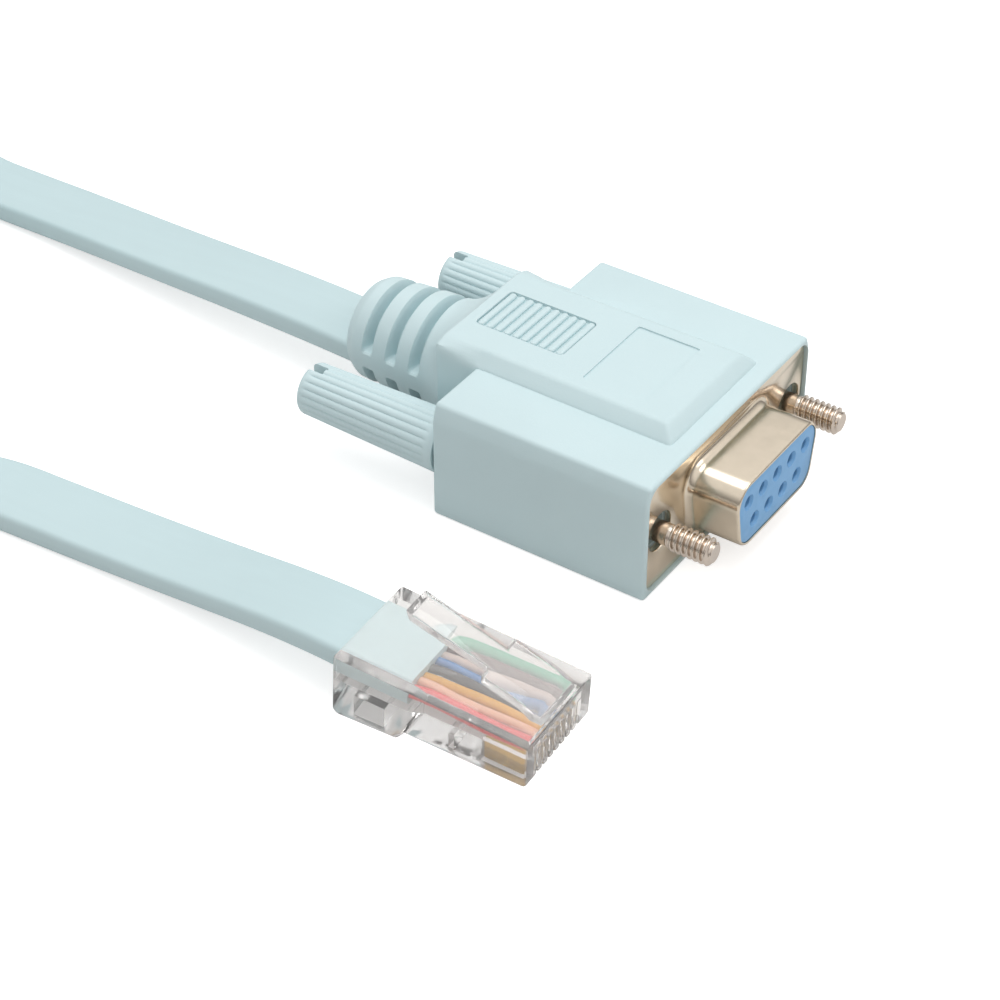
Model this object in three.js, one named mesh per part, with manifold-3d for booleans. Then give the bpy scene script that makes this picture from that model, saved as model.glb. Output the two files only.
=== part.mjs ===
// Console cable: a nine-socket D connector with a moulded hood at one end of a flat
// eight-core cable, and a clear eight-position modular plug at the other.
// Millimetres, +Z up. +X is the way the D connector mates, +Y runs across it.
// The origin lies on the floor under the middle of the D connector.
import * as THREE from 'three';
import { mergeVertices } from 'three/addons/utils/BufferGeometryUtils.js';
import Module from 'manifold-3d';

const wasm = await Module();
wasm.setup();

const DEG = Math.PI / 180;
const CLEARANCE = 0.3;      // gap kept between neighbouring pieces
const SLIP = 0.1;           // gap round a plate or tube that sits in a recess
const OVERRUN = 1;          // how far a cutter passes the face it opens

// Hood, measured in its own frame: x = 0 on the front of the rim, z = 0 on the underside
const SCREW_SPACING = 24.99;      // between the axes of the two thumbscrews
const SCREW_EDGE = 3.205;         // from a screw's axis to the side of the hood
const HOOD_WIDTH = SCREW_SPACING + 2 * SCREW_EDGE;
const WING_HEIGHT = 13.4;
const WING_LENGTH = 24.7;
const WING_CHAMFER_IN = 0.6;
const WING_CHAMFER_DOWN = 1.9;
const FOOT_CHAMFER = 0.5;
const PLATEAU_RISE = 1.45;
const PLATEAU_TOP_WIDTH = 13.4;
const HEAD_RADIUS = 3.18;         // of a thumbscrew
const HEAD_TO_NECK = 1.115;       // from a thumbscrew's head to the side of the neck
const NECK_WIDTH = SCREW_SPACING - 2 * (HEAD_RADIUS + HEAD_TO_NECK);
const PLATEAU_FRONT_MARGIN = 1.9;
const PLATEAU_FRONT_BEVEL = 1.4;
const NECK_LENGTH = 4.8;
const NECK_EDGE_RISE = 1.0;
const DOME_LENGTH = 3.85;
const RIM_WALL = 0.45;
const RIM_CORNER = 1.6;

// Shallow panels on the top of the hood
const GRIP_LENGTH = 10.4;
const GRIP_WIDTH = 6.6;
const GRIP_START = 28.0;
const GRIP_RIBS = 10;
const GRIP_DEPTH = 0.35;
const PANEL_LENGTH = 7.1;
const PANEL_WIDTH = 10.6;
const PANEL_START = 14.0;
const PANEL_DEPTH = 0.15;

// Segmented strain relief, moulded with the hood
const RELIEF_LENGTH = 9.95;
const RELIEF_HEIGHT = 6.9;
const RELIEF_RADIUS = 6.1;
const RELIEF_END_RADIUS = 5.5;
const RELIEF_EXIT_RADIUS = 4.8;
const RELIEF_EXIT_BEVEL = 1.3;
const GROOVES = 3;
const GROOVE_PITCH = 3.05;
const GROOVE_WIDTH = 1.05;
const GROOVE_CORE_RADIUS = 4.2;
const SPINE_HEIGHT = 2.5;

// D connector
const SHELL_HEIGHT = 6.6;         // height of its axis over the underside of the hood
const FLANGE_SETBACK = 0.35;
const FLANGE_THICKNESS = 0.8;
const SHROUD_REACH = 5.8;
const SHROUD_WIDTH = 16.33;
const SHROUD_TALL = 7.9;
const SHROUD_LEAN = 10;           // degrees that the short sides lean
const SHROUD_CORNER = 2.3;
const SHROUD_WALL = 0.4;
const SCREW_HOLE = 4.2;
const SOCKET_PITCH = 2.77;
const SOCKET_ROW_GAP = 2.84;
const SOCKET_HOLE = 1.7;
const CONTACT_OUTSIDE = 1.4;
const CONTACT_BORE = 1.0;
const CONTACT_LENGTH = 4.4;
const CONTACT_SETBACK = 0.7;
const INSULATOR_SETBACK = 0.15;

// Thumbscrews
const HEAD_LENGTH = 17.0;
const HEAD_END_RADIUS = 2.8;
const HEAD_EDGE = 0.5;
const SLOT_WIDTH = 1.15;
const SLOT_DEPTH = 1.9;
const SCREW_DIAMETER = 2.84;
const SHANK_DIAMETER = 2.2;
const SCREW_REACH = 6.1;
const THREAD_LENGTH = 4.9;
const SCREW_GRIP = 8;             // how far the screw is set into its head
const WING_BORE = 3.8;

// Modular plug, in its own frame: x = 0 at its rear face, z = 0 on its underside
const PLUG_WIDTH = 11.68;
const PLUG_LENGTH = 20.5;
const PLUG_REAR_HEIGHT = 7.1;
const PLUG_NOSE_TOP = 6.7;
const PLUG_FOOT_LENGTH = 7.0;
const PLUG_STEP_RUN = 0.8;
const PLUG_STEP = 1.15;
const PLUG_NOSE_BOTTOM = 1.75;
const PLUG_EDGE = 0.5;
const PLUG_PITCH = 3.3;
const PLUG_YAW = 3.1;
const PLUG_PLACE = [-15.9, -39.1, 0.04];    // middle of its rear edge, in the hood's frame
const JACKET_INSIDE = 7.4;        // how far the cable's jacket reaches into the plug
const JACKET_HEIGHT = 5.0;
const CORE_PITCH = 1.02;
const CORE_DIAMETER = 0.9;
const CORE_HEIGHT = 5.0;
const CORE_CAVITY = 1.5;
const NOSE_WALL = 0.8;
const BLADE_THICKNESS = 0.32;
const BLADE_LENGTH = 4.2;
const BLADE_DEPTH = 0.25;         // how far its edge lies inside the underside
const BLADE_SLOT = 0.62;
const BAR_START = 2.0;
const BAR_LENGTH = 3.2;
const BAR_DEPTH = 2.4;
const LATCH_WIDE = 6.0;
const LATCH_NARROW = 3.4;
const LATCH_SHOULDER = 13.8;
const LATCH_TAIL = 5.0;
const LATCH_TAIL_TOP = 12.1;
const LATCH_BEND_TOP = 8.7;
const LATCH_THICKNESS = 1.0;
const LATCH_ROOT = 1.3;

// Flat cable and its coil
const CABLE_WIDTH = 8.2;
const CABLE_THICKNESS = 2.4;
const COIL_CENTRE = [-145.5, -32.5];
const COIL_OUTER_TURN = 46.0;
const COIL_TURN_PITCH = 3.1;
const COIL_TURNS = 2.7;           // turns in each of the two storeys
const STOREYS = 2;
const STOREY_HEIGHT = 8.6;

// Places worked out from the sizes above
const flangeFront = -FLANGE_SETBACK;
const flangeBack = flangeFront - FLANGE_THICKNESS;
const shroudFront = flangeFront + SHROUD_REACH;
const wingRear = -WING_LENGTH;
const neckRear = wingRear - NECK_LENGTH;
const domeRear = neckRear - DOME_LENGTH;
const reliefRear = domeRear - RELIEF_LENGTH;
const plateauTop = WING_HEIGHT + PLATEAU_RISE;
const screwTip = flangeFront + SCREW_REACH;
const middleX = (screwTip + reliefRear) / 2;

// Colours, roughness and metalness of each kind of material
const finish = (color, roughness, metalness = 0, extra = {}) =>
  new THREE.MeshStandardMaterial({ color, roughness, metalness, ...extra });
const hoodVinyl = () => finish(0xc4d9db, 0.55);
const cableVinyl = () => finish(0xbdd3d6, 0.5);
const nickel = () => finish(0xb9ab9b, 0.3, 1);
const blueNylon = () => finish(0x5f9fe0, 0.45);
const gilt = () => finish(0xc9a44c, 0.3, 1);
const clearPlastic = () => finish(0xe6e6e4, 0.12, 0, { transparent: true, opacity: 0.35 });
const CORE_COLOURS = [
  ['red', 0xd9443f], ['orange', 0xf0b89c], ['yellow', 0xe3a82c], ['black', 0x3a3c3c],
  ['blue', 0x3f82bd], ['grey', 0xc9bab2], ['brown', 0x5d4038], ['green', 0x4fb596],
];

const cable = new THREE.Group();
cable.position.x = -middleX;

function addPiece(name, geometry, material, parent = cable) {
  const mesh = new THREE.Mesh(geometry, material);
  mesh.name = name;
  parent.add(mesh);
  return mesh;
}

// A closed mesh as a solid that can be joined and cut, and back again
function solid(geometry) {
  const bare = geometry.index ? geometry.toNonIndexed() : geometry.clone();
  bare.deleteAttribute('normal');
  bare.deleteAttribute('uv');
  const merged = mergeVertices(bare, 1e-5);
  return new wasm.Manifold(new wasm.Mesh({
    numProp: 3,
    vertProperties: new Float32Array(merged.attributes.position.array),
    triVerts: new Uint32Array(merged.index.array),
  }));
}

function geometryOf(shape) {
  const mesh = shape.getMesh();
  const geometry = new THREE.BufferGeometry();
  geometry.setAttribute('position', new THREE.BufferAttribute(mesh.vertProperties, 3));
  geometry.setIndex(new THREE.BufferAttribute(mesh.triVerts, 1));
  const flat = geometry.toNonIndexed();
  flat.computeVertexNormals();
  return flat;
}

const box = (x0, x1, y0, y1, z0, z1) =>
  new THREE.BoxGeometry(x1 - x0, y1 - y0, z1 - z0)
    .translate((x0 + x1) / 2, (y0 + y1) / 2, (z0 + z1) / 2);

// Turns a profile of [x, radius] pairs about the X axis
function turned(profile, sides, y = 0, z = 0) {
  const points = profile.map(([x, radius]) => new THREE.Vector2(radius, x));
  return new THREE.LatheGeometry(points, sides).rotateZ(-Math.PI / 2).translate(0, y, z);
}

const rod = (x0, x1, radius, y, z, sides = 20) =>
  turned([[x0, 0], [x0, radius], [x1, radius], [x1, 0]], sides, y, z);

// Extrudes an outline of [y, z] pairs along X
function prismAlongX(outline, x0, x1) {
  const shape = new THREE.Shape(outline.map(([y, z]) => new THREE.Vector2(y, z)));
  return new THREE.ExtrudeGeometry(shape, { depth: x1 - x0, bevelEnabled: false })
    .applyMatrix4(new THREE.Matrix4().set(0, 0, 1, x0, 1, 0, 0, 0, 0, 1, 0, 0, 0, 0, 0, 1));
}

// Extrudes an outline of [x, z] pairs across Y, centred on y = 0
function prismAcross(outline, width) {
  const shape = new THREE.Shape(outline.map(([x, z]) => new THREE.Vector2(x, z)));
  return new THREE.ExtrudeGeometry(shape, { depth: width, bevelEnabled: false })
    .rotateX(Math.PI / 2).translate(0, width / 2, 0);
}

// Rounds each corner of an outline with a short arc
function rounded(corners, radius, steps = 5) {
  const points = [];
  const count = corners.length;
  for (let i = 0; i < count; i += 1) {
    const here = new THREE.Vector2(...corners[i]);
    const before = new THREE.Vector2(...corners[(i + count - 1) % count]).sub(here).normalize();
    const after = new THREE.Vector2(...corners[(i + 1) % count]).sub(here).normalize();
    const half = Math.acos(before.dot(after)) / 2;
    const reach = radius / Math.tan(half);
    const centre = before.clone().add(after).normalize().multiplyScalar(radius / Math.sin(half));
    centre.add(here);
    const from = before.multiplyScalar(reach).add(here).sub(centre);
    const to = after.multiplyScalar(reach).add(here).sub(centre);
    let sweep = to.angle() - from.angle();
    if (sweep > Math.PI) sweep -= 2 * Math.PI;
    if (sweep < -Math.PI) sweep += 2 * Math.PI;
    for (let k = 0; k <= steps; k += 1) {
      const turn = from.clone().rotateAround(new THREE.Vector2(), (sweep * k) / steps);
      points.push([centre.x + turn.x, centre.y + turn.y]);
    }
  }
  return points;
}

// Skins a row of rings, each an equal number of Vector3 points, and caps both ends
function loft(rings) {
  const count = rings[0].length;
  const positions = [];
  const triangle = (a, b, c) => positions.push(...a.toArray(), ...b.toArray(), ...c.toArray());
  for (let i = 0; i + 1 < rings.length; i += 1) {
    for (let k = 0; k < count; k += 1) {
      const next = (k + 1) % count;
      triangle(rings[i][k], rings[i][next], rings[i + 1][k]);
      triangle(rings[i][next], rings[i + 1][next], rings[i + 1][k]);
    }
  }
  const last = rings[rings.length - 1];
  for (let k = 1; k + 1 < count; k += 1) {
    triangle(rings[0][0], rings[0][k + 1], rings[0][k]);
    triangle(last[0], last[k], last[k + 1]);
  }
  const geometry = new THREE.BufferGeometry();
  geometry.setAttribute('position', new THREE.Float32BufferAttribute(positions, 3));
  return geometry;
}

const sectionAt = (x, outline) => outline.map(([y, z]) => new THREE.Vector3(x, y, z));

// Distance from (0, RELIEF_HEIGHT) to an outline along the direction of an angle
function reachOf(outline, angle) {
  const dy = Math.cos(angle);
  const dz = Math.sin(angle);
  let reach = 0;
  outline.forEach(([y0, z0], i) => {
    const [y1, z1] = outline[(i + 1) % outline.length];
    const ey = y1 - y0;
    const ez = z1 - z0;
    const cross = dy * ez - dz * ey;
    if (Math.abs(cross) < 1e-9) return;
    const along = (y0 * ez - (z0 - RELIEF_HEIGHT) * ey) / cross;
    const part = (y0 * dz - (z0 - RELIEF_HEIGHT) * dy) / cross;
    if (along > 0 && part >= -1e-9 && part <= 1 + 1e-9) reach = Math.max(reach, along);
  });
  return reach;
}

// Outline of the neck, whose top edges are bevelled down to edgeHeight
const neckOutline = (edgeHeight) => [
  [-NECK_WIDTH / 2, 0], [NECK_WIDTH / 2, 0], [NECK_WIDTH / 2, edgeHeight],
  [PLATEAU_TOP_WIDTH / 2, plateauTop], [-PLATEAU_TOP_WIDTH / 2, plateauTop],
  [-NECK_WIDTH / 2, edgeHeight],
];

function wings() {
  const half = HOOD_WIDTH / 2;
  const outline = [
    [-half, FOOT_CHAMFER], [-half + FOOT_CHAMFER, 0], [half - FOOT_CHAMFER, 0],
    [half, FOOT_CHAMFER], [half, WING_HEIGHT - WING_CHAMFER_DOWN],
    [half - WING_CHAMFER_IN, WING_HEIGHT], [-half + WING_CHAMFER_IN, WING_HEIGHT],
    [-half, WING_HEIGHT - WING_CHAMFER_DOWN],
  ];
  return solid(prismAlongX(outline, wingRear, 0));
}

// The raised middle of the top, bevelled at its sides and front
function plateau() {
  const ring = (front, halfWidth, z) => [
    [wingRear, -halfWidth], [front, -halfWidth], [front, halfWidth], [wingRear, halfWidth],
  ].map(([x, y]) => new THREE.Vector3(x, y, z));
  const foot = WING_HEIGHT - OVERRUN;
  const front = -PLATEAU_FRONT_MARGIN;
  return solid(loft([
    ring(front, NECK_WIDTH / 2, foot),
    ring(front, NECK_WIDTH / 2, WING_HEIGHT),
    ring(front - PLATEAU_FRONT_BEVEL, PLATEAU_TOP_WIDTH / 2, plateauTop),
  ]));
}

// The neck behind the wings, and the dome where it turns round for the strain relief
function neckAndDome() {
  const atWing = neckOutline(WING_HEIGHT);
  const atRear = neckOutline(WING_HEIGHT + NECK_EDGE_RISE);
  const angles = atRear.map(([y, z]) => Math.atan2(z - RELIEF_HEIGHT, y));
  for (let k = 0; k < 24; k += 1) {
    const angle = (k / 24) * 2 * Math.PI - Math.PI + 0.01;
    if (angles.every((other) => Math.abs(other - angle) > 0.06)) angles.push(angle);
  }
  angles.sort((a, b) => a - b);
  const ringAt = (x, radiusOf) => angles.map((angle) => {
    const radius = radiusOf(angle);
    return new THREE.Vector3(x, radius * Math.cos(angle), RELIEF_HEIGHT + radius * Math.sin(angle));
  });
  const square = (angle) => reachOf(atRear, angle);
  const blend = (share) => (angle) => square(angle) * (1 - share) + RELIEF_RADIUS * share;
  const neck = loft([sectionAt(neckRear, atRear), sectionAt(wingRear + OVERRUN, atWing)]);
  const dome = loft([
    ringAt(domeRear, () => RELIEF_RADIUS),
    ringAt(domeRear + DOME_LENGTH * 0.35, blend(0.72)),
    ringAt(neckRear, square),
    ringAt(neckRear + OVERRUN / 2, square),
  ]);
  return solid(neck).add(solid(dome));
}

function strainRelief() {
  const bevelStart = reliefRear + RELIEF_EXIT_BEVEL;
  let relief = solid(turned([
    [reliefRear, 0], [reliefRear, RELIEF_EXIT_RADIUS], [bevelStart, RELIEF_END_RADIUS],
    [domeRear, RELIEF_RADIUS], [domeRear + OVERRUN / 2, RELIEF_RADIUS], [domeRear + OVERRUN / 2, 0],
  ], 32, 0, RELIEF_HEIGHT));
  const outside = RELIEF_RADIUS + OVERRUN;
  for (let i = 0; i < GROOVES; i += 1) {
    const x1 = domeRear - i * GROOVE_PITCH;
    const x0 = x1 - GROOVE_WIDTH;
    const ring = solid(turned([
      [x0, GROOVE_CORE_RADIUS], [x0, outside], [x1, outside], [x1, GROOVE_CORE_RADIUS],
      [x0, GROOVE_CORE_RADIUS],
    ], 32, 0, RELIEF_HEIGHT));
    const spine = solid(box(
      x0 - OVERRUN, x1 + OVERRUN, -outside - OVERRUN, outside + OVERRUN,
      RELIEF_HEIGHT - SPINE_HEIGHT / 2, RELIEF_HEIGHT + SPINE_HEIGHT / 2,
    ));
    relief = relief.subtract(ring.subtract(spine));
  }
  return relief;
}

// Recess in the hood's front that takes the flange, with rounded corners
const flangeOutline = (margin) => {
  const half = HOOD_WIDTH / 2 - RIM_WALL - margin;
  const tall = WING_HEIGHT / 2 - RIM_WALL - margin;
  const middle = WING_HEIGHT / 2;
  return rounded([
    [-half, middle - tall], [half, middle - tall], [half, middle + tall], [-half, middle + tall],
  ], RIM_CORNER, 4);
};

// The ribbed grip: a shallow recess with ribs left standing across it
function gripCuts() {
  const pitch = GRIP_LENGTH / GRIP_RIBS;
  const gap = pitch * 0.32;
  const cuts = [];
  for (let i = 0; i < GRIP_RIBS; i += 1) {
    const x0 = -GRIP_START + i * pitch;
    cuts.push(box(
      x0, x0 + gap, -GRIP_WIDTH / 2, GRIP_WIDTH / 2, plateauTop - GRIP_DEPTH, plateauTop + OVERRUN,
    ));
  }
  return cuts;
}

function buildHood() {
  let hood = wings().add(plateau()).add(neckAndDome()).add(strainRelief());
  hood = hood.subtract(solid(prismAlongX(flangeOutline(0), flangeBack - SLIP, OVERRUN)));
  for (const side of [-1, 1]) {
    const y = (side * SCREW_SPACING) / 2;
    hood = hood.subtract(solid(
      rod(wingRear - OVERRUN, OVERRUN, WING_BORE / 2, y, SHELL_HEIGHT, 24),
    ));
  }
  for (const cut of gripCuts()) hood = hood.subtract(solid(cut));
  hood = hood.subtract(solid(box(
    -PANEL_START, -PANEL_START + PANEL_LENGTH, -PANEL_WIDTH / 2, PANEL_WIDTH / 2,
    plateauTop - PANEL_DEPTH, plateauTop + OVERRUN,
  )));
  addPiece('hood', geometryOf(hood), hoodVinyl());
}

// The D shape of the shroud, wide row upwards, drawn in by a margin
function dOutline(margin) {
  const lean = Math.tan(SHROUD_LEAN * DEG);
  const tall = SHROUD_TALL / 2 - margin;
  const wide = SHROUD_WIDTH / 2 - margin * (1 / Math.cos(SHROUD_LEAN * DEG) - lean);
  const narrow = wide - 2 * tall * lean;
  return rounded([
    [-narrow, SHELL_HEIGHT - tall], [narrow, SHELL_HEIGHT - tall],
    [wide, SHELL_HEIGHT + tall], [-wide, SHELL_HEIGHT + tall],
  ], SHROUD_CORNER - margin, 5);
}

function buildShell() {
  const flange = solid(prismAlongX(flangeOutline(SLIP), flangeBack, flangeFront));
  const shroud = solid(prismAlongX(dOutline(0), flangeBack, shroudFront));
  let shell = flange.add(shroud);
  shell = shell.subtract(solid(
    prismAlongX(dOutline(SHROUD_WALL), flangeBack - OVERRUN, shroudFront + OVERRUN),
  ));
  for (const side of [-1, 1]) {
    const y = (side * SCREW_SPACING) / 2;
    shell = shell.subtract(solid(
      rod(flangeBack - OVERRUN, OVERRUN, SCREW_HOLE / 2, y, SHELL_HEIGHT, 24),
    ));
  }
  addPiece('metal_shell', geometryOf(shell), nickel());
}

// Where each socket stands: five in the upper row, four in the lower
function socketPlaces() {
  const places = [];
  for (const [count, side] of [[5, 1], [4, -1]]) {
    for (let i = 0; i < count; i += 1) {
      const y = (i - (count - 1) / 2) * SOCKET_PITCH;
      places.push([y, SHELL_HEIGHT + (side * SOCKET_ROW_GAP) / 2]);
    }
  }
  return places;
}

function buildInsulator() {
  const front = shroudFront - INSULATOR_SETBACK;
  const contactFront = front - CONTACT_SETBACK;
  const contactBack = contactFront - CONTACT_LENGTH;
  let insulator = solid(prismAlongX(dOutline(SHROUD_WALL + SLIP), flangeBack, front));
  socketPlaces().forEach(([y, z], index) => {
    insulator = insulator.subtract(solid(
      rod(contactBack - SLIP, front + OVERRUN, SOCKET_HOLE / 2, y, z, 16),
    ));
    const outside = CONTACT_OUTSIDE / 2;
    const bore = CONTACT_BORE / 2;
    addPiece(`socket_contact_${index + 1}`, turned([
      [contactBack, bore], [contactBack, outside], [contactFront, outside],
      [contactFront, bore], [contactBack, bore],
    ], 12, y, z), gilt());
  });
  addPiece('insulator', geometryOf(insulator), blueNylon());
}

// One captive thumbscrew: a moulded head with a screw set into it
function buildThumbscrew(side, label) {
  const y = (side * SCREW_SPACING) / 2;
  const front = wingRear - CLEARANCE;
  const rear = front - HEAD_LENGTH;
  const socketEnd = front - SCREW_GRIP;
  const screwRadius = SCREW_DIAMETER / 2;
  let head = solid(turned([
    [rear, 0], [rear, HEAD_END_RADIUS - HEAD_EDGE], [rear + HEAD_EDGE, HEAD_END_RADIUS],
    [front, HEAD_RADIUS], [front, 0],
  ], 28, y, SHELL_HEIGHT));
  head = head.subtract(solid(rod(
    socketEnd - SLIP, front + OVERRUN, screwRadius + SLIP, y, SHELL_HEIGHT, 20,
  )));
  head = head.subtract(solid(box(
    rear - OVERRUN, rear + SLOT_DEPTH, y - SLOT_WIDTH / 2, y + SLOT_WIDTH / 2,
    SHELL_HEIGHT - HEAD_RADIUS - OVERRUN, SHELL_HEIGHT + HEAD_RADIUS + OVERRUN,
  )));
  addPiece(`thumbscrew_head_${label}`, geometryOf(head), hoodVinyl());

  const shankRadius = SHANK_DIAMETER / 2;
  const threadStart = screwTip - THREAD_LENGTH;
  const tipBevel = 0.35;
  addPiece(`thumbscrew_screw_${label}`, turned([
    [socketEnd, 0], [socketEnd, screwRadius], [front + CLEARANCE, screwRadius],
    [front + CLEARANCE, shankRadius], [threadStart, shankRadius], [threadStart, screwRadius],
    [screwTip - tipBevel, screwRadius], [screwTip, screwRadius - tipBevel], [screwTip, 0],
  ], 20, y, SHELL_HEIGHT), nickel());
}

// Height of the plug's underside and top at a place along its length
const noseShare = (x) => (x - PLUG_FOOT_LENGTH) / (PLUG_LENGTH - PLUG_FOOT_LENGTH);
const footDrop = Math.tan(PLUG_PITCH * DEG) * PLUG_FOOT_LENGTH;
const underside = (x) => {
  const stepTop = footDrop + PLUG_STEP;
  return stepTop + (PLUG_NOSE_BOTTOM - stepTop) * noseShare(x);
};

function plugBody() {
  const stepEnd = PLUG_FOOT_LENGTH + PLUG_STEP_RUN;
  const footStart = Math.tan(PLUG_PITCH * DEG) * PLUG_EDGE;
  let body = solid(prismAcross([
    [0, PLUG_EDGE], [PLUG_EDGE, footStart], [PLUG_FOOT_LENGTH, footDrop],
    [stepEnd, underside(stepEnd)], [PLUG_LENGTH - PLUG_EDGE, PLUG_NOSE_BOTTOM],
    [PLUG_LENGTH, PLUG_NOSE_BOTTOM + PLUG_EDGE], [PLUG_LENGTH, PLUG_NOSE_TOP - PLUG_EDGE],
    [PLUG_LENGTH - PLUG_EDGE, PLUG_NOSE_TOP], [PLUG_EDGE, PLUG_REAR_HEIGHT],
    [0, PLUG_REAR_HEIGHT - PLUG_EDGE],
  ], PLUG_WIDTH));
  const jacketHalf = CABLE_THICKNESS / 2 + CLEARANCE;
  const coreHalf = CORE_CAVITY / 2;
  const cavityEnd = PLUG_LENGTH - NOSE_WALL;
  const neck = JACKET_INSIDE + CLEARANCE;
  const cavity = prismAcross([
    [-OVERRUN, JACKET_HEIGHT - jacketHalf], [neck, JACKET_HEIGHT - jacketHalf],
    [neck + jacketHalf, CORE_HEIGHT - coreHalf], [cavityEnd, CORE_HEIGHT - coreHalf],
    [cavityEnd, CORE_HEIGHT + coreHalf], [neck + jacketHalf, CORE_HEIGHT + coreHalf],
    [neck, JACKET_HEIGHT + jacketHalf], [-OVERRUN, JACKET_HEIGHT + jacketHalf],
  ], CABLE_WIDTH + 2 * CLEARANCE);
  body = body.subtract(solid(cavity));
  body = body.subtract(solid(box(
    BAR_START, BAR_START + BAR_LENGTH, -CABLE_WIDTH / 2, CABLE_WIDTH / 2, -OVERRUN, BAR_DEPTH,
  )));
  for (let i = 0; i < CORE_COLOURS.length; i += 1) {
    const y = coreY(i);
    const slotEnd = cavityEnd;
    const slotStart = slotEnd - BLADE_LENGTH - CLEARANCE;
    body = body.subtract(solid(box(
      slotStart, slotEnd, y - BLADE_SLOT / 2, y + BLADE_SLOT / 2, -OVERRUN, CORE_HEIGHT,
    )));
  }
  return body;
}

const coreY = (index) => (index - (CORE_COLOURS.length - 1) / 2) * CORE_PITCH;

function buildCores(plug) {
  const start = JACKET_INSIDE + CLEARANCE;
  const end = PLUG_LENGTH - NOSE_WALL - CLEARANCE;
  const bladeEnd = PLUG_LENGTH - NOSE_WALL - CLEARANCE / 2;
  const bladeStart = bladeEnd - BLADE_LENGTH;
  const bladeTop = CORE_HEIGHT - CORE_DIAMETER / 2 - SLIP;
  CORE_COLOURS.forEach(([colour, value], index) => {
    const y = coreY(index);
    addPiece(`core_${index + 1}_${colour}`,
      rod(start, end, CORE_DIAMETER / 2, y, CORE_HEIGHT, 10), finish(value, 0.5), plug);
    const blade = prismAcross([
      [bladeStart, PLUG_NOSE_BOTTOM + BLADE_DEPTH], [bladeEnd, PLUG_NOSE_BOTTOM + BLADE_DEPTH],
      [bladeEnd, bladeTop], [bladeStart, bladeTop],
    ], BLADE_THICKNESS).translate(0, y, 0);
    addPiece(`plug_contact_${index + 1}`, blade, gilt(), plug);
  });
}

// The latch springs up from the nose and slopes back over the plug
function plugLatch() {
  const rootBase = PLUG_NOSE_TOP + CLEARANCE;
  const rootFront = PLUG_LENGTH - PLUG_EDGE / 2;
  const bend = rootFront - LATCH_ROOT - 0.8;
  const slope = (LATCH_TAIL_TOP - LATCH_BEND_TOP) / (bend - LATCH_TAIL);
  const top = (x) => LATCH_BEND_TOP + slope * (bend - x);
  const under = (x) => top(x) - LATCH_THICKNESS;
  const wide = prismAcross([
    [rootFront - LATCH_ROOT, rootBase], [rootFront, rootBase],
    [rootFront - 0.2, rootBase + 0.9], [bend, top(bend)], [LATCH_SHOULDER, top(LATCH_SHOULDER)],
    [LATCH_SHOULDER, under(LATCH_SHOULDER)], [bend - 0.3, under(bend - 0.3)],
  ], LATCH_WIDE);
  const reach = LATCH_SHOULDER + OVERRUN;
  const narrow = prismAcross([
    [LATCH_TAIL + 0.4, under(LATCH_TAIL + 0.4)], [reach, under(reach)], [reach, top(reach)],
    [LATCH_TAIL, top(LATCH_TAIL)],
  ], LATCH_NARROW);
  return geometryOf(solid(wide).add(solid(narrow)));
}

function buildPlug() {
  const plug = new THREE.Group();
  plug.position.set(...PLUG_PLACE);
  plug.rotation.set(0, PLUG_PITCH * DEG, PLUG_YAW * DEG, 'ZYX');
  cable.add(plug);
  addPiece('plug_body', geometryOf(plugBody()), clearPlastic(), plug);
  addPiece('plug_latch', plugLatch(), clearPlastic(), plug);
  buildCores(plug);
}

// A path that carries a flat section: each point is [x, y, z, twist in degrees], and at no
// twist the cable lies flat
class FlatPath extends THREE.CatmullRomCurve3 {
  constructor(points) {
    super(points.map(([x, y, z]) => new THREE.Vector3(x, y, z)), false, 'centripetal');
    this.twists = points.map((point) => point[3]);
  }

  twistAt(u) {
    const place = this.getUtoTmapping(u) * (this.twists.length - 1);
    const index = Math.min(Math.floor(place), this.twists.length - 2);
    return THREE.MathUtils.lerp(this.twists[index], this.twists[index + 1], place - index) * DEG;
  }

  computeFrenetFrames(segments) {
    const tangents = [];
    const normals = [];
    const binormals = [];
    for (let i = 0; i <= segments; i += 1) {
      const tangent = this.getTangentAt(i / segments);
      const side = new THREE.Vector3(0, 0, 1).cross(tangent).normalize();
      side.applyAxisAngle(tangent, this.twistAt(i / segments));
      tangents.push(tangent);
      normals.push(side);
      binormals.push(tangent.clone().cross(side));
    }
    return { tangents, normals, binormals };
  }
}

// The flat cable's section: two flat faces and rounded edges, with eight sides
function cableSection() {
  const flat = (CABLE_WIDTH - CABLE_THICKNESS) / 2;
  const edge = CABLE_THICKNESS / 2;
  const points = [];
  for (const side of [1, -1]) {
    for (const turn of [-90, -30, 30, 90]) {
      const x = side * (flat + edge * Math.cos(turn * DEG));
      points.push(new THREE.Vector2(x, side * edge * Math.sin(turn * DEG)));
    }
  }
  return new THREE.Shape(points);
}

const cableTube = (points, steps) => new THREE.ExtrudeGeometry(cableSection(), {
  extrudePath: new FlatPath(points), steps, bevelEnabled: false,
});

// A point of the plug's frame in the hood's frame
function fromPlug(x, y, z) {
  const turn = new THREE.Euler(0, PLUG_PITCH * DEG, PLUG_YAW * DEG, 'ZYX');
  return new THREE.Vector3(x, y, z).applyEuler(turn).add(new THREE.Vector3(...PLUG_PLACE)).toArray();
}

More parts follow.
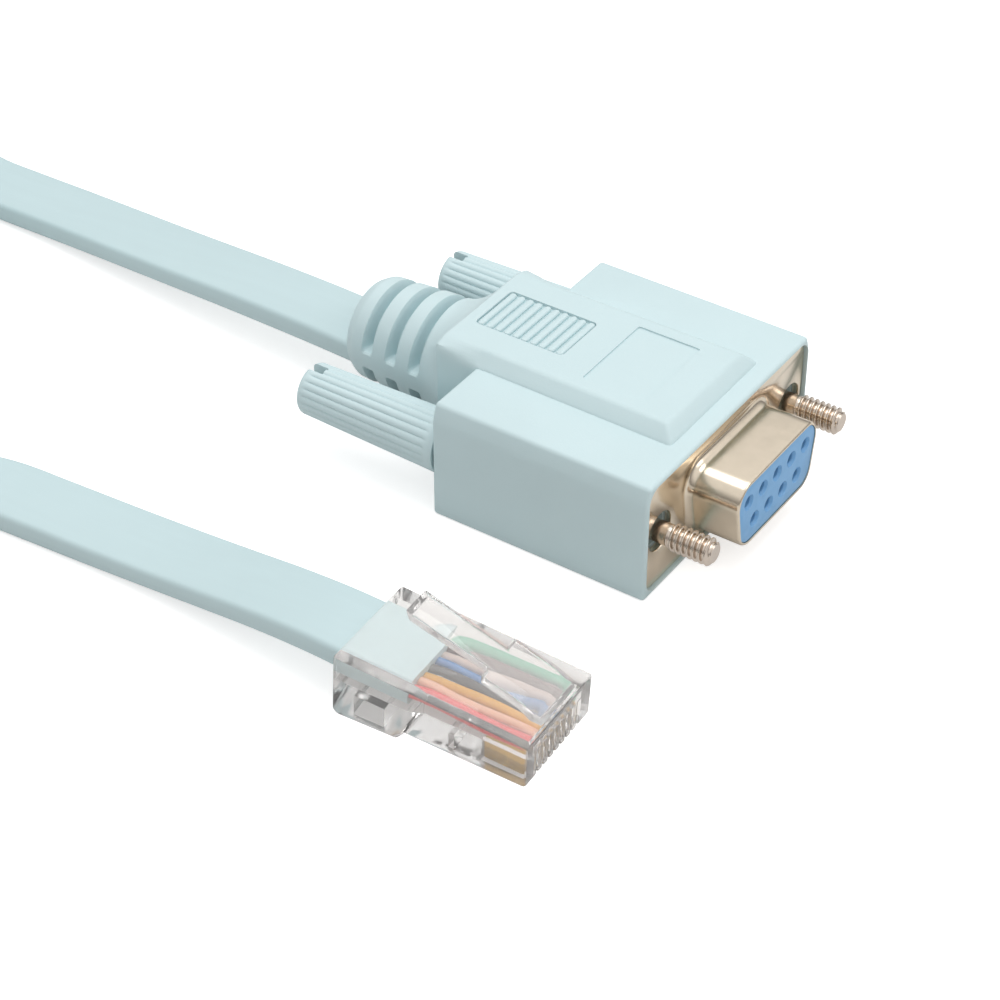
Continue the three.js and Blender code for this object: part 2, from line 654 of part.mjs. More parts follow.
// The cable from the hood down to the floor, turning onto its edge as it meets the coil
const HOOD_RUN = [
  [reliefRear - CLEARANCE, 0.1, 5.2, 0], [-50, 0.5, 5.05, 0], [-60, 1.2, 4.5, 0],
  [-71, 2.2, 3.5, 0], [-82, 3.3, 2.45, 0], [-90, 4, 1.75, 0], [-97, 4.2, 1.45, 0],
  [-103.5, 4.3, 1.5, 1], [-109, 5.4, 2.4, 14], [-114.5, 7.9, 3.65, 38], [-120.2, 10.8, 4.35, 62],
  [-127.6, 12.8, 4.3, 86],
];

// The cable from the plug along the floor, rising onto the upper storey of the coil
const PLUG_RUN = [
  [...fromPlug(JACKET_INSIDE, 0, JACKET_HEIGHT), 0],
  [...fromPlug(JACKET_INSIDE / 2, 0, JACKET_HEIGHT), 0],
  [...fromPlug(-CLEARANCE, 0, JACKET_HEIGHT), 0],
  [-20, -38.9, 4.85, 0], [-26, -38.4, 4.05, 0], [-33, -37.9, 2.9, 0], [-40, -37.6, 1.95, 0],
  [-48, -37.7, 1.4, 0], [-56, -38.15, 1.3, 0], [-62, -38.7, 1.35, 0], [-69, -41.1, 2.1, 8],
  [-76, -44.9, 3.6, 22], [-84, -49.7, 5.8, 38], [-92, -54.5, 8.3, 56], [-100, -59.2, 10.8, 73],
  [-108.4, -64.1, 12.75, 88],
];

// The coil's outer shape: a ring as wide as the turns of one storey
function coilRing() {
  const outside = COIL_OUTER_TURN + CABLE_THICKNESS / 2;
  const inside = COIL_OUTER_TURN - COIL_TURNS * COIL_TURN_PITCH - CABLE_THICKNESS / 2;
  const top = (STOREYS - 1) * STOREY_HEIGHT + CABLE_WIDTH;
  const corner = CABLE_THICKNESS / 2;
  const profile = [
    [inside, corner], [inside + corner, 0], [outside - corner, 0], [outside, corner],
    [outside, top - corner], [outside - corner, top], [inside + corner, top],
    [inside, top - corner], [inside, corner],
  ].map(([radius, z]) => new THREE.Vector2(radius, z));
  return new THREE.LatheGeometry(profile, 64).rotateX(Math.PI / 2)
    .translate(COIL_CENTRE[0], COIL_CENTRE[1], 0.05);
}

buildHood();
buildShell();
buildInsulator();
buildThumbscrew(-1, 'near');
buildThumbscrew(1, 'far');
buildPlug();
addPiece('cable_hood_run', cableTube(HOOD_RUN, 24), cableVinyl());
addPiece('cable_plug_run', cableTube(PLUG_RUN, 34), cableVinyl());
addPiece('cable_coil', coilRing(), cableVinyl());

export default cable;
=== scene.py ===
"""Looks of a flat console cable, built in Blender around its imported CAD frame.

Sizes are millimetres in the hood's own frame: x = 0 on the front of the hood's rim with +X the way
the D connector mates, y = 0 in its middle and z = 0 on the floor. Meshes are moved to the row frame,
in metres, as the last step of making each one.
"""

from __future__ import annotations

import logging
import math
from dataclasses import dataclass, field
from enum import Enum
from typing import Iterable, Sequence

import bmesh
import bpy
import numpy as np
from mathutils import Matrix, Vector

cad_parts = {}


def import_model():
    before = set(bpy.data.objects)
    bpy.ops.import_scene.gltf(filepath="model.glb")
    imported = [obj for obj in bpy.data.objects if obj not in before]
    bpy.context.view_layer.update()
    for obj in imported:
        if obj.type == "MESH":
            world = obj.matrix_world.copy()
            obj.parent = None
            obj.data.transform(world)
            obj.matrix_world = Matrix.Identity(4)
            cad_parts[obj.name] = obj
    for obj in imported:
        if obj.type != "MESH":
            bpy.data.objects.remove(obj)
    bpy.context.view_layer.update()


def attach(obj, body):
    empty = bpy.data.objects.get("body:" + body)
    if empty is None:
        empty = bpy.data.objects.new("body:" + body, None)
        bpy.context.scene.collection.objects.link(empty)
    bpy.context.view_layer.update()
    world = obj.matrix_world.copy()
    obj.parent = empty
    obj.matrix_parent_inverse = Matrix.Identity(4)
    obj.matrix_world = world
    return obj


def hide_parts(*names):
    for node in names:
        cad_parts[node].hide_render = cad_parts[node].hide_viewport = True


logging.basicConfig(level=logging.INFO, format="%(name)s: %(message)s")
log = logging.getLogger("console_cable")

MM = 0.001
SHIFT_X = 18.775  # from the row frame's origin to the front of the hood's rim
SENSOR_MM = 36.0

HOOD_WIDTH = 31.4
WING_HEIGHT = 13.4
SCREW_SPACING = 24.99
SCREW_HEIGHT = 6.6  # of the D connector's axis and both screws
CABLE_THICKNESS = 2.4
CABLE_EXIT = (-43.3, 0.0, 5.2)
JACKET_INSIDE = 7.4  # how far the jacket reaches into the plug
JACKET_HEIGHT = 5.0  # of its middle over the plug's underside

Point = tuple[float, float, float]
Knot = tuple[float, float, float, float]
Outline = list[tuple[float, float]]
Colour = tuple[float, float, float]

HOOD_FRAME = Matrix.Translation((SHIFT_X * MM, 0.0, 0.0)) @ Matrix.Scale(MM, 4)


class Body(str, Enum):
    """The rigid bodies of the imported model."""

    CABLE = "cable"
    SCREW_NEAR = "thumbscrew_near"
    SCREW_FAR = "thumbscrew_far"
    LATCH = "latch"


class Slot(str, Enum):
    """The record's material slots."""

    HOOD = "hood_vinyl"
    CABLE = "cable_vinyl"
    NICKEL = "nickel_plate"
    SCREW = "screw_steel"
    INSULATOR = "blue_insulator"
    GILT = "gilt_contact"
    CLEAR = "clear_plastic"


def linear(rgb: Sequence[int]) -> Colour:
    """Turns sRGB values into linear light.

    Args:
        rgb: red, green and blue, each from 0 to 255.

    Returns:
        The same colour in linear light, each value from 0 to 1.
    """
    out = []
    for value in rgb:
        share = value / 255
        out.append(share / 12.92 if share <= 0.04045 else ((share + 0.055) / 1.055) ** 2.4)
    return tuple(out)


def new_object(
    name: str, verts: np.ndarray | Sequence[Point], faces: Iterable[Sequence[int]]
) -> bpy.types.Object:
    """Makes a mesh object and links it into the scene.

    Args:
        name: the object's name.
        verts: its points.
        faces: the indices of each face's points.

    Returns:
        The new object.
    """
    mesh = bpy.data.meshes.new(name)
    mesh.from_pydata([tuple(map(float, v)) for v in verts], [], [tuple(f) for f in faces])
    mesh.validate()
    obj = bpy.data.objects.new(name, mesh)
    bpy.context.scene.collection.objects.link(obj)
    return obj


def recalculate(obj: bpy.types.Object) -> bpy.types.Object:
    """Points every face of a closed mesh outwards.

    Args:
        obj: the object, changed in place.

    Returns:
        The same object.
    """
    edit = bmesh.new()
    edit.from_mesh(obj.data)
    bmesh.ops.remove_doubles(edit, verts=edit.verts, dist=1e-5)
    bmesh.ops.recalc_face_normals(edit, faces=edit.faces)
    edit.to_mesh(obj.data)
    edit.free()
    return obj


def skin(
    name: str, rings: Sequence[np.ndarray], caps: bool = True, closed: bool = False
) -> bpy.types.Object:
    """Skins a row of rings of equal length.

    Args:
        name: the object's name.
        rings: each an array of n points.
        caps: whether the first and last ring are filled.
        closed: whether the last ring joins the first.

    Returns:
        The new object, its faces pointing outwards.
    """
    count = len(rings[0])
    verts = np.concatenate(rings)
    faces: list[Sequence[int]] = []
    spans = len(rings) if closed else len(rings) - 1
    for i in range(spans):
        here, after = i * count, ((i + 1) % len(rings)) * count
        for k in range(count):
            nxt = (k + 1) % count
            faces.append((here + k, here + nxt, after + nxt, after + k))
    if caps and not closed:
        faces.append(tuple(reversed(range(count))))
        faces.append(tuple(range((len(rings) - 1) * count, len(rings) * count)))
    return recalculate(new_object(name, verts, faces))


def prism_x(name: str, outline: Outline, x0: float, x1: float) -> bpy.types.Object:
    """Extrudes an outline of (y, z) pairs along X."""
    rings = [np.array([(x, y, z) for y, z in outline]) for x in (x0, x1)]
    return skin(name, rings)


def prism_y(name: str, outline: Outline, width: float, y: float = 0.0) -> bpy.types.Object:
    """Extrudes an outline of (x, z) pairs across Y, centred on y."""
    rings = [np.array([(px, y + side * width / 2, pz) for px, pz in outline]) for side in (-1, 1)]
    return skin(name, rings)


def prism_z(name: str, outline: Outline, z0: float, z1: float) -> bpy.types.Object:
    """Extrudes an outline of (x, y) pairs along Z."""
    rings = [np.array([(x, y, z) for x, y in outline]) for z in (z0, z1)]
    return skin(name, rings)


def rectangle(low: Sequence[float], high: Sequence[float]) -> Outline:
    """The corners of an upright rectangle, anticlockwise."""
    return [(low[0], low[1]), (high[0], low[1]), (high[0], high[1]), (low[0], high[1])]


def block(name: str, low: Point, high: Point) -> bpy.types.Object:
    """A plain box, used as a cutter."""
    return prism_z(name, rectangle(low, high), low[2], high[2])


def round_angles(count: int) -> np.ndarray:
    """So many even steps round a circle."""
    return np.linspace(0, 2 * math.pi, count, endpoint=False)


def ring(
    x: float, y: float, z: float, radius: float | np.ndarray, angles: np.ndarray
) -> np.ndarray:
    """Sets points round a line along X; the radius may differ from angle to angle."""
    return np.stack([np.full(len(angles), x), y + radius * np.cos(angles),
                     z + radius * np.sin(angles)], 1)


def lathe_x(name: str, profile: Outline, y: float, z: float, sides: int = 48) -> bpy.types.Object:
    """Turns a profile of (x, radius) pairs about a line along X."""
    angles = round_angles(sides)
    return skin(name, [ring(x, y, z, r, angles) for x, r in profile])


def rounded(corners: Outline, radius: float, steps: int = 6) -> Outline:
    """Rounds each corner of an outline with a short arc.

    Args:
        corners: the outline's corners, in order.
        radius: the arcs' radius.
        steps: how many chords make an arc.

    Returns:
        The rounded outline.
    """
    points: Outline = []
    count = len(corners)
    for i, corner in enumerate(corners):
        here = Vector(corner)
        before = (Vector(corners[i - 1]) - here).normalized()
        after = (Vector(corners[(i + 1) % count]) - here).normalized()
        half = math.acos(max(-1.0, min(1.0, before.dot(after)))) / 2
        centre = here + (before + after).normalized() * (radius / math.sin(half))
        reach = radius / math.tan(half)
        start = here + before * reach - centre
        end = here + after * reach - centre
        a0, a1 = math.atan2(start.y, start.x), math.atan2(end.y, end.x)
        sweep = (a1 - a0 + math.pi) % (2 * math.pi) - math.pi
        for k in range(steps + 1):
            turn = a0 + sweep * k / steps
            points.append((centre.x + radius * math.cos(turn), centre.y + radius * math.sin(turn)))
    return points


def settle(obj: bpy.types.Object) -> bpy.types.Object:
    """Applies an object's modifiers to its mesh.

    Args:
        obj: the object, changed in place.

    Returns:
        The same object.
    """
    graph = bpy.context.evaluated_depsgraph_get()
    graph.update()
    made = bpy.data.meshes.new_from_object(obj.evaluated_get(graph))
    obj.modifiers.clear()
    obj.data = made
    return obj


def bevelled(
    obj: bpy.types.Object, width: float, segments: int = 3, angle: float = 30.0
) -> bpy.types.Object:
    """Rounds an object's sharp edges.

    Args:
        obj: the object, changed in place.
        width: the bevel's width.
        segments: how many strips make it.
        angle: edges sharper than this many degrees are rounded.

    Returns:
        The same object.
    """
    bevel = obj.modifiers.new("edges", "BEVEL")
    bevel.width = width
    bevel.segments = segments
    bevel.limit_method = "ANGLE"
    bevel.angle_limit = math.radians(angle)
    return settle(obj)


def combine(
    obj: bpy.types.Object, others: Iterable[bpy.types.Object], operation: str
) -> bpy.types.Object:
    """Joins others to an object, or cuts them from it, and removes them.

    Args:
        obj: the object, changed in place.
        others: what is joined or cut, one after another.
        operation: UNION, DIFFERENCE or INTERSECT.

    Returns:
        The same object.
    """
    for other in others:
        step = obj.modifiers.new("combine", "BOOLEAN")
        step.operation = operation
        step.solver = "EXACT"
        step.object = other
        settle(obj)
        bpy.data.objects.remove(other)
    return obj


def join(name: str, parts: Sequence[bpy.types.Object]) -> bpy.types.Object:
    """Puts several meshes into one object without cutting them.

    Args:
        name: the new object's name.
        parts: the objects, which are removed.

    Returns:
        The new object.
    """
    edit = bmesh.new()
    for part in parts:
        edit.from_mesh(part.data)
    mesh = bpy.data.meshes.new(name)
    edit.to_mesh(mesh)
    edit.free()
    for part in parts:
        bpy.data.objects.remove(part)
    obj = bpy.data.objects.new(name, mesh)
    bpy.context.scene.collection.objects.link(obj)
    return obj


def shade(obj: bpy.types.Object, angle: float = 35.0) -> bpy.types.Object:
    """Shades faces smoothly except across edges sharper than an angle in degrees."""
    obj.data.polygons.foreach_set("use_smooth", [True] * len(obj.data.polygons))
    obj.data.set_sharp_from_angle(angle=math.radians(angle))
    return obj


def deliver(
    obj: bpy.types.Object, matrix: Matrix, finish: Finish, body: Body,
    nodes: Sequence[str],
) -> bpy.types.Object:
    """Moves a finished mesh to the row frame, gives it its material and sets it on its body.

    Args:
        obj: the object, its mesh in millimetres.
        matrix: takes its frame to the row frame.
        finish: its surface.
        body: the body that it rides on.
        nodes: the CAD nodes that it replaces.

    Returns:
        The same object.
    """
    obj.data.transform(matrix)
    dress(obj, finish)
    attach(obj, body.value)
    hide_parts(*nodes)
    log.info("%s: %d faces", obj.name, len(obj.data.polygons))
    return obj


def smoothstep(low: float, high: float, value: float | np.ndarray) -> float | np.ndarray:
    """Rises smoothly from 0 at low to 1 at high."""
    share = np.clip((value - low) / (high - low), 0.0, 1.0)
    return share * share * (3 - 2 * share)


def weighed(
    first: np.ndarray, second: np.ndarray, low: float, high: float, value: float
) -> np.ndarray:
    """Mixes two points by where a value lies between low and high."""
    return first * (high - value) / (high - low) + second * (value - low) / (high - low)


def darker(colour: Colour, share: float) -> Colour:
    """A colour with every value taken down to a share."""
    return tuple(c * share for c in colour)


class Graph:
    """A material's node graph, with short calls to add and link its nodes."""

    def __init__(self, name: str) -> None:
        """Starts a material whose patterns are laid out in millimetres.

        Args:
            name: the material's name.
        """
        self.material = bpy.data.materials.new(name)
        self.material.use_nodes = True
        self.tree = self.material.node_tree
        self.shader = self.tree.nodes["Principled BSDF"]
        place = self.add("ShaderNodeTexCoord")
        scale = self.add("ShaderNodeVectorMath")
        scale.operation = "SCALE"
        scale.inputs["Scale"].default_value = 1 / MM
        self.tree.links.new(place.outputs["Object"], scale.inputs[0])
        self.millimetres = scale.outputs["Vector"]

    def add(self, kind: str, **values: object) -> bpy.types.Node:
        """Adds a node.

        Args:
            kind: Blender's name for the type of node.
            **values: inputs by name, each a value or a socket.

        Returns:
            The new node.
        """
        node = self.tree.nodes.new(kind)
        for name, value in values.items():
            self.put(node, name, value)
        return node

    def put(self, node: bpy.types.Node, name: str, value: object) -> None:
        """Sets one input of a node.

        Args:
            node: the node.
            name: the input's name.
            value: a value to set, or a socket to link.
        """
        socket = node.inputs[name]
        if isinstance(value, bpy.types.NodeSocket):
            self.tree.links.new(value, socket)
        else:
            socket.default_value = value

    def noise(
        self, scale: float, detail: float = 2.0, vector: bpy.types.NodeSocket | None = None
    ) -> bpy.types.NodeSocket:
        """A noise of so many features per millimetre."""
        node = self.add("ShaderNodeTexNoise", Scale=scale, Detail=detail)
        self.tree.links.new(vector or self.millimetres, node.inputs["Vector"])
        return node.outputs["Fac"]

    def stretched(self, along: Point) -> bpy.types.NodeSocket:
        """The millimetre coordinates scaled by a factor along each axis."""
        node = self.add("ShaderNodeMapping", Vector=self.millimetres)
        node.inputs["Scale"].default_value = along
        return node.outputs["Vector"]

    def between(self, fac: bpy.types.NodeSocket, low: float, high: float) -> bpy.types.NodeSocket:
        """Maps 0-1 to a range."""
        node = self.add("ShaderNodeMapRange", Value=fac)
        node.inputs["To Min"].default_value = low
        node.inputs["To Max"].default_value = high
        return node.outputs["Result"]

    def blend(
        self, fac: bpy.types.NodeSocket, first: Colour, second: Colour
    ) -> bpy.types.NodeSocket:
        """Mixes two colours.

        Args:
            fac: 0 for the first and 1 for the second.
            first: a colour in linear light.
            second: another.

        Returns:
            The socket of the mixed colour.
        """
        node = self.tree.nodes.new("ShaderNodeMix")
        node.data_type = "RGBA"
        self.tree.links.new(fac, node.inputs[0])
        node.inputs[6].default_value = (*first, 1.0)
        node.inputs[7].default_value = (*second, 1.0)
        return node.outputs[2]

    def bump(
        self, height: bpy.types.NodeSocket, distance: float, strength: float = 1.0,
        normal: bpy.types.NodeSocket | None = None,
    ) -> bpy.types.NodeSocket:
        """Adds a bump.

        Args:
            height: the pattern, 0-1.
            distance: its depth in millimetres.
            strength: how much of it is used.
            normal: the normal that it lies over, if any.

        Returns:
            The socket of the new normal.
        """
        node = self.add("ShaderNodeBump", Height=height, Strength=strength)
        node.inputs["Distance"].default_value = distance * MM
        if normal is not None:
            self.tree.links.new(normal, node.inputs["Normal"])
        return node.outputs["Normal"]

    def wear(self, fac: bpy.types.NodeSocket, low: float, high: float) -> None:
        """Spreads the shader's roughness over a range."""
        self.put(self.shader, "Roughness", self.between(fac, low, high))

    def soften(self, weight: float, reach: float) -> None:
        """Lets light spread so many millimetres under the surface."""
        self.put(self.shader, "Subsurface Weight", weight)
        self.put(self.shader, "Subsurface Scale", reach * MM)
        self.put(self.shader, "Subsurface Radius", (1.0, 1.0, 1.0))


@dataclass(frozen=True)
class Finish:
    """A named surface finish; subclasses draw its node graph."""

    name: str

    def draw(self, graph: Graph) -> None:
        """Sets up the graph's shader."""
        raise NotImplementedError

    def material(self) -> bpy.types.Material:
        """Returns the finish's material, made on first use."""
        label = f"{self.name}_finish"
        found = bpy.data.materials.get(label)
        if found is not None:
            return found
        graph = Graph(label)
        self.draw(graph)
        return graph.material


@dataclass(frozen=True)
class MouldedVinyl(Finish):
    """Soft moulded plastic with a fine spark-eroded grain and faint mottling."""

    colour: Colour
    roughness: float = 0.5
    roughness_spread: float = 0.08
    mottle_scale: float = 0.12
    mottle_dark: float = 0.955
    grain_scale: float = 5.0
    grain_depth: float = 0.02
    wave_scale: float = 0.35
    wave_depth: float = 0.05
    translucence: float = 0.12
    translucence_reach: float = 0.6

    def draw(self, graph: Graph) -> None:
        """Sets up the graph's shader."""
        mottle = graph.noise(self.mottle_scale, 3.0)
        dark = darker(self.colour, self.mottle_dark)
        graph.put(graph.shader, "Base Color", graph.blend(mottle, self.colour, dark))
        fine = graph.noise(self.grain_scale, 3.0)
        graph.wear(fine, self.roughness - self.roughness_spread,
                   self.roughness + self.roughness_spread)
        broad = graph.bump(graph.noise(self.wave_scale, 2.0), self.wave_depth, 0.35)
        graph.put(graph.shader, "Normal", graph.bump(fine, self.grain_depth, 0.6, broad))
        graph.soften(self.translucence, self.translucence_reach)
        graph.put(graph.shader, "IOR", 1.5)


@dataclass(frozen=True)
class CableVinyl(Finish):
    """Extruded jacket: smooth, with faint streaks and soft dents along it."""

    colour: Colour
    roughness: float = 0.42
    streak_stretch: Point = (0.05, 0.9, 0.9)
    streak_dark: float = 0.96
    grain_scale: float = 4.0
    grain_depth: float = 0.008
    dent_scale: float = 0.16
    dent_depth: float = 0.12
    translucence: float = 0.12
    translucence_reach: float = 0.6

    def draw(self, graph: Graph) -> None:
        """Sets up the graph's shader."""
        streak = graph.noise(1.0, 2.0, graph.stretched(self.streak_stretch))
        dark = darker(self.colour, self.streak_dark)
        graph.put(graph.shader, "Base Color", graph.blend(streak, self.colour, dark))
        fine = graph.noise(self.grain_scale, 2.0)
        graph.wear(fine, self.roughness - 0.05, self.roughness + 0.07)
        broad = graph.bump(graph.noise(self.dent_scale, 1.0), self.dent_depth, 0.5)
        graph.put(graph.shader, "Normal", graph.bump(fine, self.grain_depth, 0.5, broad))
        graph.soften(self.translucence, self.translucence_reach)


@dataclass(frozen=True)
class PlatedMetal(Finish):
    """Plated metal with a slightly uneven polish and fine pits."""

    colour: Colour
    roughness: float = 0.25
    pits: float = 0.006
    cloud_dark: float = 0.82

    def draw(self, graph: Graph) -> None:
        """Sets up the graph's shader."""
        graph.put(graph.shader, "Metallic", 1.0)
        cloud = graph.noise(0.5, 4.0)
        dark = darker(self.colour, self.cloud_dark)
        graph.put(graph.shader, "Base Color", graph.blend(cloud, self.colour, dark))
        graph.wear(cloud, self.roughness - 0.07, self.roughness + 0.1)
        wave = graph.bump(graph.noise(0.3, 1.0), 0.04, 0.4)
        graph.put(graph.shader, "Normal", graph.bump(graph.noise(7.0, 2.0), self.pits, 0.5, wave))


@dataclass(frozen=True)
class SolidPlastic(Finish):
    """Plain moulded or extruded plastic with slight unevenness in tone and polish."""

    colour: Colour
    roughness: float = 0.4
    cloud_dark: float = 0.86

    def draw(self, graph: Graph) -> None:
        """Sets up the graph's shader."""
        cloud = graph.noise(0.9, 3.0)
        dark = darker(self.colour, self.cloud_dark)
        graph.put(graph.shader, "Base Color", graph.blend(cloud, self.colour, dark))
        graph.wear(cloud, self.roughness - 0.08, self.roughness + 0.1)
        graph.put(graph.shader, "Normal", graph.bump(graph.noise(3.0, 2.0), 0.01, 0.5))


@dataclass(frozen=True)
class ClearPlastic(Finish):
    """Clear moulded plastic, with flow marks that bend what is seen through it."""

    colour: Colour
    roughness: float = 0.04

    def draw(self, graph: Graph) -> None:
        """Sets up the graph's shader."""
        graph.put(graph.shader, "Base Color", (*self.colour, 1.0))
        graph.put(graph.shader, "Transmission Weight", 0.9)
        graph.put(graph.shader, "IOR", 1.36)
        cloud = graph.noise(0.5, 2.0)
        graph.wear(cloud, self.roughness * 0.5, self.roughness * 2.0)
        graph.put(graph.shader, "Normal", graph.bump(graph.noise(0.5, 1.0), 0.01, 0.5))


@dataclass(frozen=True)
class Floor(Finish):
    """A pale studio floor that glows only where it is seen, so that shadows stay faint."""

    colour: Colour = (0.72, 0.715, 0.71)
    glow: float = 0.62
    through: float = 0.42

    def draw(self, graph: Graph) -> None:
        """Sets up the graph's shader."""
        tone = graph.blend(graph.noise(0.01, 2.0), self.colour, darker(self.colour, 0.99))
        graph.put(graph.shader, "Base Color", tone)
        graph.put(graph.shader, "Roughness", 0.9)
        graph.put(graph.shader, "Specular IOR Level", 0.0)
        graph.put(graph.shader, "Emission Color", (1.0, 1.0, 1.0, 1.0))
        paths = graph.add("ShaderNodeLightPath").outputs
        seen = graph.add("ShaderNodeMath")
        seen.operation = "MULTIPLY_ADD"
        graph.tree.links.new(paths["Is Transmission Ray"], seen.inputs[0])
        seen.inputs[1].default_value = self.through
        graph.tree.links.new(paths["Is Camera Ray"], seen.inputs[2])
        graph.put(graph.shader, "Emission Strength", graph.between(seen.outputs[0], 0.0, self.glow))


def dress(obj: bpy.types.Object, finish: Finish) -> None:
    """Gives an object one material."""
    obj.data.materials.clear()
    obj.data.materials.append(finish.material())


HOOD_FINISH = MouldedVinyl("hood_vinyl", linear((204, 224, 227)))
CABLE_FINISH = CableVinyl("cable_vinyl", linear((196, 217, 220)))
NICKEL_FINISH = PlatedMetal("nickel_plate", linear((240, 226, 205)), 0.2)
SCREW_FINISH = PlatedMetal("screw_steel", linear((224, 210, 196)), 0.2)
INSULATOR_FINISH = SolidPlastic("blue_insulator", linear((128, 184, 232)), 0.42)
GILT_FINISH = PlatedMetal("gilt_contact", linear((214, 176, 92)), 0.2)
CLEAR_FINISH = ClearPlastic("clear_plastic", (0.93, 0.915, 0.905))
CORES: list[tuple[str, tuple[int, int, int]]] = [
    ("red", (222, 60, 56)), ("orange", (243, 190, 160)), ("yellow", (228, 168, 40)),
    ("black", (52, 54, 54)), ("blue", (52, 120, 184)), ("grey", (205, 186, 178)),
    ("brown", (84, 58, 50)), ("green", (64, 176, 140)),
]


@dataclass
class Studio:
    """The photograph's camera over a pale floor in soft light.

    The camera was fitted to the standard sizes of the D connector: where it stands, in the hood's
    frame in millimetres, which way it looks, and its focal length on a 36 mm sensor.
    """

    eye: Point = (100.63, -190.47, 171.88)
    azimuth: float = 33.856
    elevation: float = 38.368
    roll: float = 0.171
    lens: float = 99.005
    floor_half: float = 3.0
    floor_depth: float = -0.00002

    def build_camera(self) -> None:
        """Makes the camera and sets it as the scene's."""
        az, el, roll = (math.radians(a) for a in (self.azimuth, self.elevation, self.roll))
        right = Vector((math.cos(az), math.sin(az), 0))
        look = Vector((-math.sin(az) * math.cos(el), math.cos(az) * math.cos(el), -math.sin(el)))
        up = right.cross(look)
        tilted = math.cos(roll) * right + math.sin(roll) * up
        upright = -math.sin(roll) * right + math.cos(roll) * up
        data = bpy.data.cameras.new("camera")
        data.lens = self.lens
        data.sensor_width = SENSOR_MM
        data.sensor_fit = "HORIZONTAL"
        data.clip_start, data.clip_end = 0.01, 20.0
        camera = bpy.data.objects.new("camera", data)
        turn = Matrix((tilted, upright, -look)).transposed()
        camera.matrix_world = Matrix.Translation(HOOD_FRAME @ Vector(self.eye)) @ turn.to_4x4()
        bpy.context.scene.collection.objects.link(camera)
        bpy.context.scene.camera = camera

    def build_floor(self) -> None:
        """Makes the floor, just under the lowest piece."""
        half, depth = self.floor_half, self.floor_depth
        corners = [(x, y, depth) for x, y in rectangle((-half, -half), (half, half))]
        floor = new_object("floor", corners, [(0, 1, 2, 3)])
        dress(floor, Floor("floor"))

    def build_light(self, name: str, spot: Point, target: Point, size: float, power: float) -> None:
        """Hangs a square soft light and turns it to its target.

        Args:
            name: the light's name.
            spot: where it hangs, in metres.
            target: what it faces.
            size: the length of its side.
            power: its power in watts.
        """
        data = bpy.data.lights.new(name, "AREA")
        data.size = size
        data.energy = power
        light = bpy.data.objects.new(name, data)
        light.location = spot
        aim = Vector(target) - Vector(spot)
        light.rotation_mode = "QUATERNION"
        light.rotation_quaternion = aim.to_track_quat("-Z", "Y")
        bpy.context.scene.collection.objects.link(light)

    def build_world(self) -> None:
        """Makes a soft sky: bright overhead, dark at the horizon, even through the plug."""
        world = bpy.data.worlds.new("studio")
        bpy.context.scene.world = world
        world.use_nodes = True
        tree = world.node_tree
        place = tree.nodes.new("ShaderNodeTexCoord")
        parts = tree.nodes.new("ShaderNodeSeparateXYZ")
        ramp = tree.nodes.new("ShaderNodeValToRGB")
        ramp.color_ramp.elements[0].position = 0.0
        ramp.color_ramp.elements[0].color = (0.10, 0.095, 0.09, 1)
        ramp.color_ramp.elements[1].position = 0.6
        ramp.color_ramp.elements[1].color = (1.0, 1.0, 1.0, 1)
        back = tree.nodes["Background"]
        tree.links.new(place.outputs["Generated"], parts.inputs[0])
        tree.links.new(parts.outputs["Z"], ramp.inputs["Fac"])
        through = tree.nodes.new("ShaderNodeLightPath").outputs["Is Transmission Ray"]
        soften = tree.nodes.new("ShaderNodeMix")
        soften.data_type = "RGBA"
        tree.links.new(through, soften.inputs[0])
        tree.links.new(ramp.outputs["Color"], soften.inputs[6])
        soften.inputs[7].default_value = (0.74, 0.73, 0.72, 1)
        tree.links.new(soften.outputs[2], back.inputs["Color"])
        back.inputs["Strength"].default_value = 0.88

    def build(self) -> None:
        """Sets up everything but the camera, which comes first."""
        self.build_floor()
        self.build_world()
        self.build_light("key", (-0.02, 0.12, 0.75), (0.0, 0.0, 0.0), 0.5, 2.0)
        self.build_light("front", (0.6, 0.3, 0.45), (0.0, -0.01, 0.0), 0.4, 0.75)
        scene = bpy.context.scene
        scene.view_settings.view_transform = "Standard"
        scene.view_settings.look = "None"
        log.info("studio: camera, floor and lights")


@dataclass
class PlugFrame:
    """Where the modular plug lies: its rear edge's middle and its turns, in the hood's frame."""

    place: Point = (-15.9, -39.1, 0.04)
    pitch: float = 3.3
    yaw: float = 3.1

    def matrix(self) -> Matrix:
        """Takes the plug's frame to the hood's, in millimetres."""
        turn = Matrix.Rotation(math.radians(self.yaw), 4, "Z")
        tip = Matrix.Rotation(math.radians(self.pitch), 4, "Y")
        return Matrix.Translation(self.place) @ turn @ tip

    def point(self, x: float, y: float, z: float) -> Point:
        """Takes a point of the plug's frame to the hood's."""
        return tuple(self.matrix() @ Vector((x, y, z)))


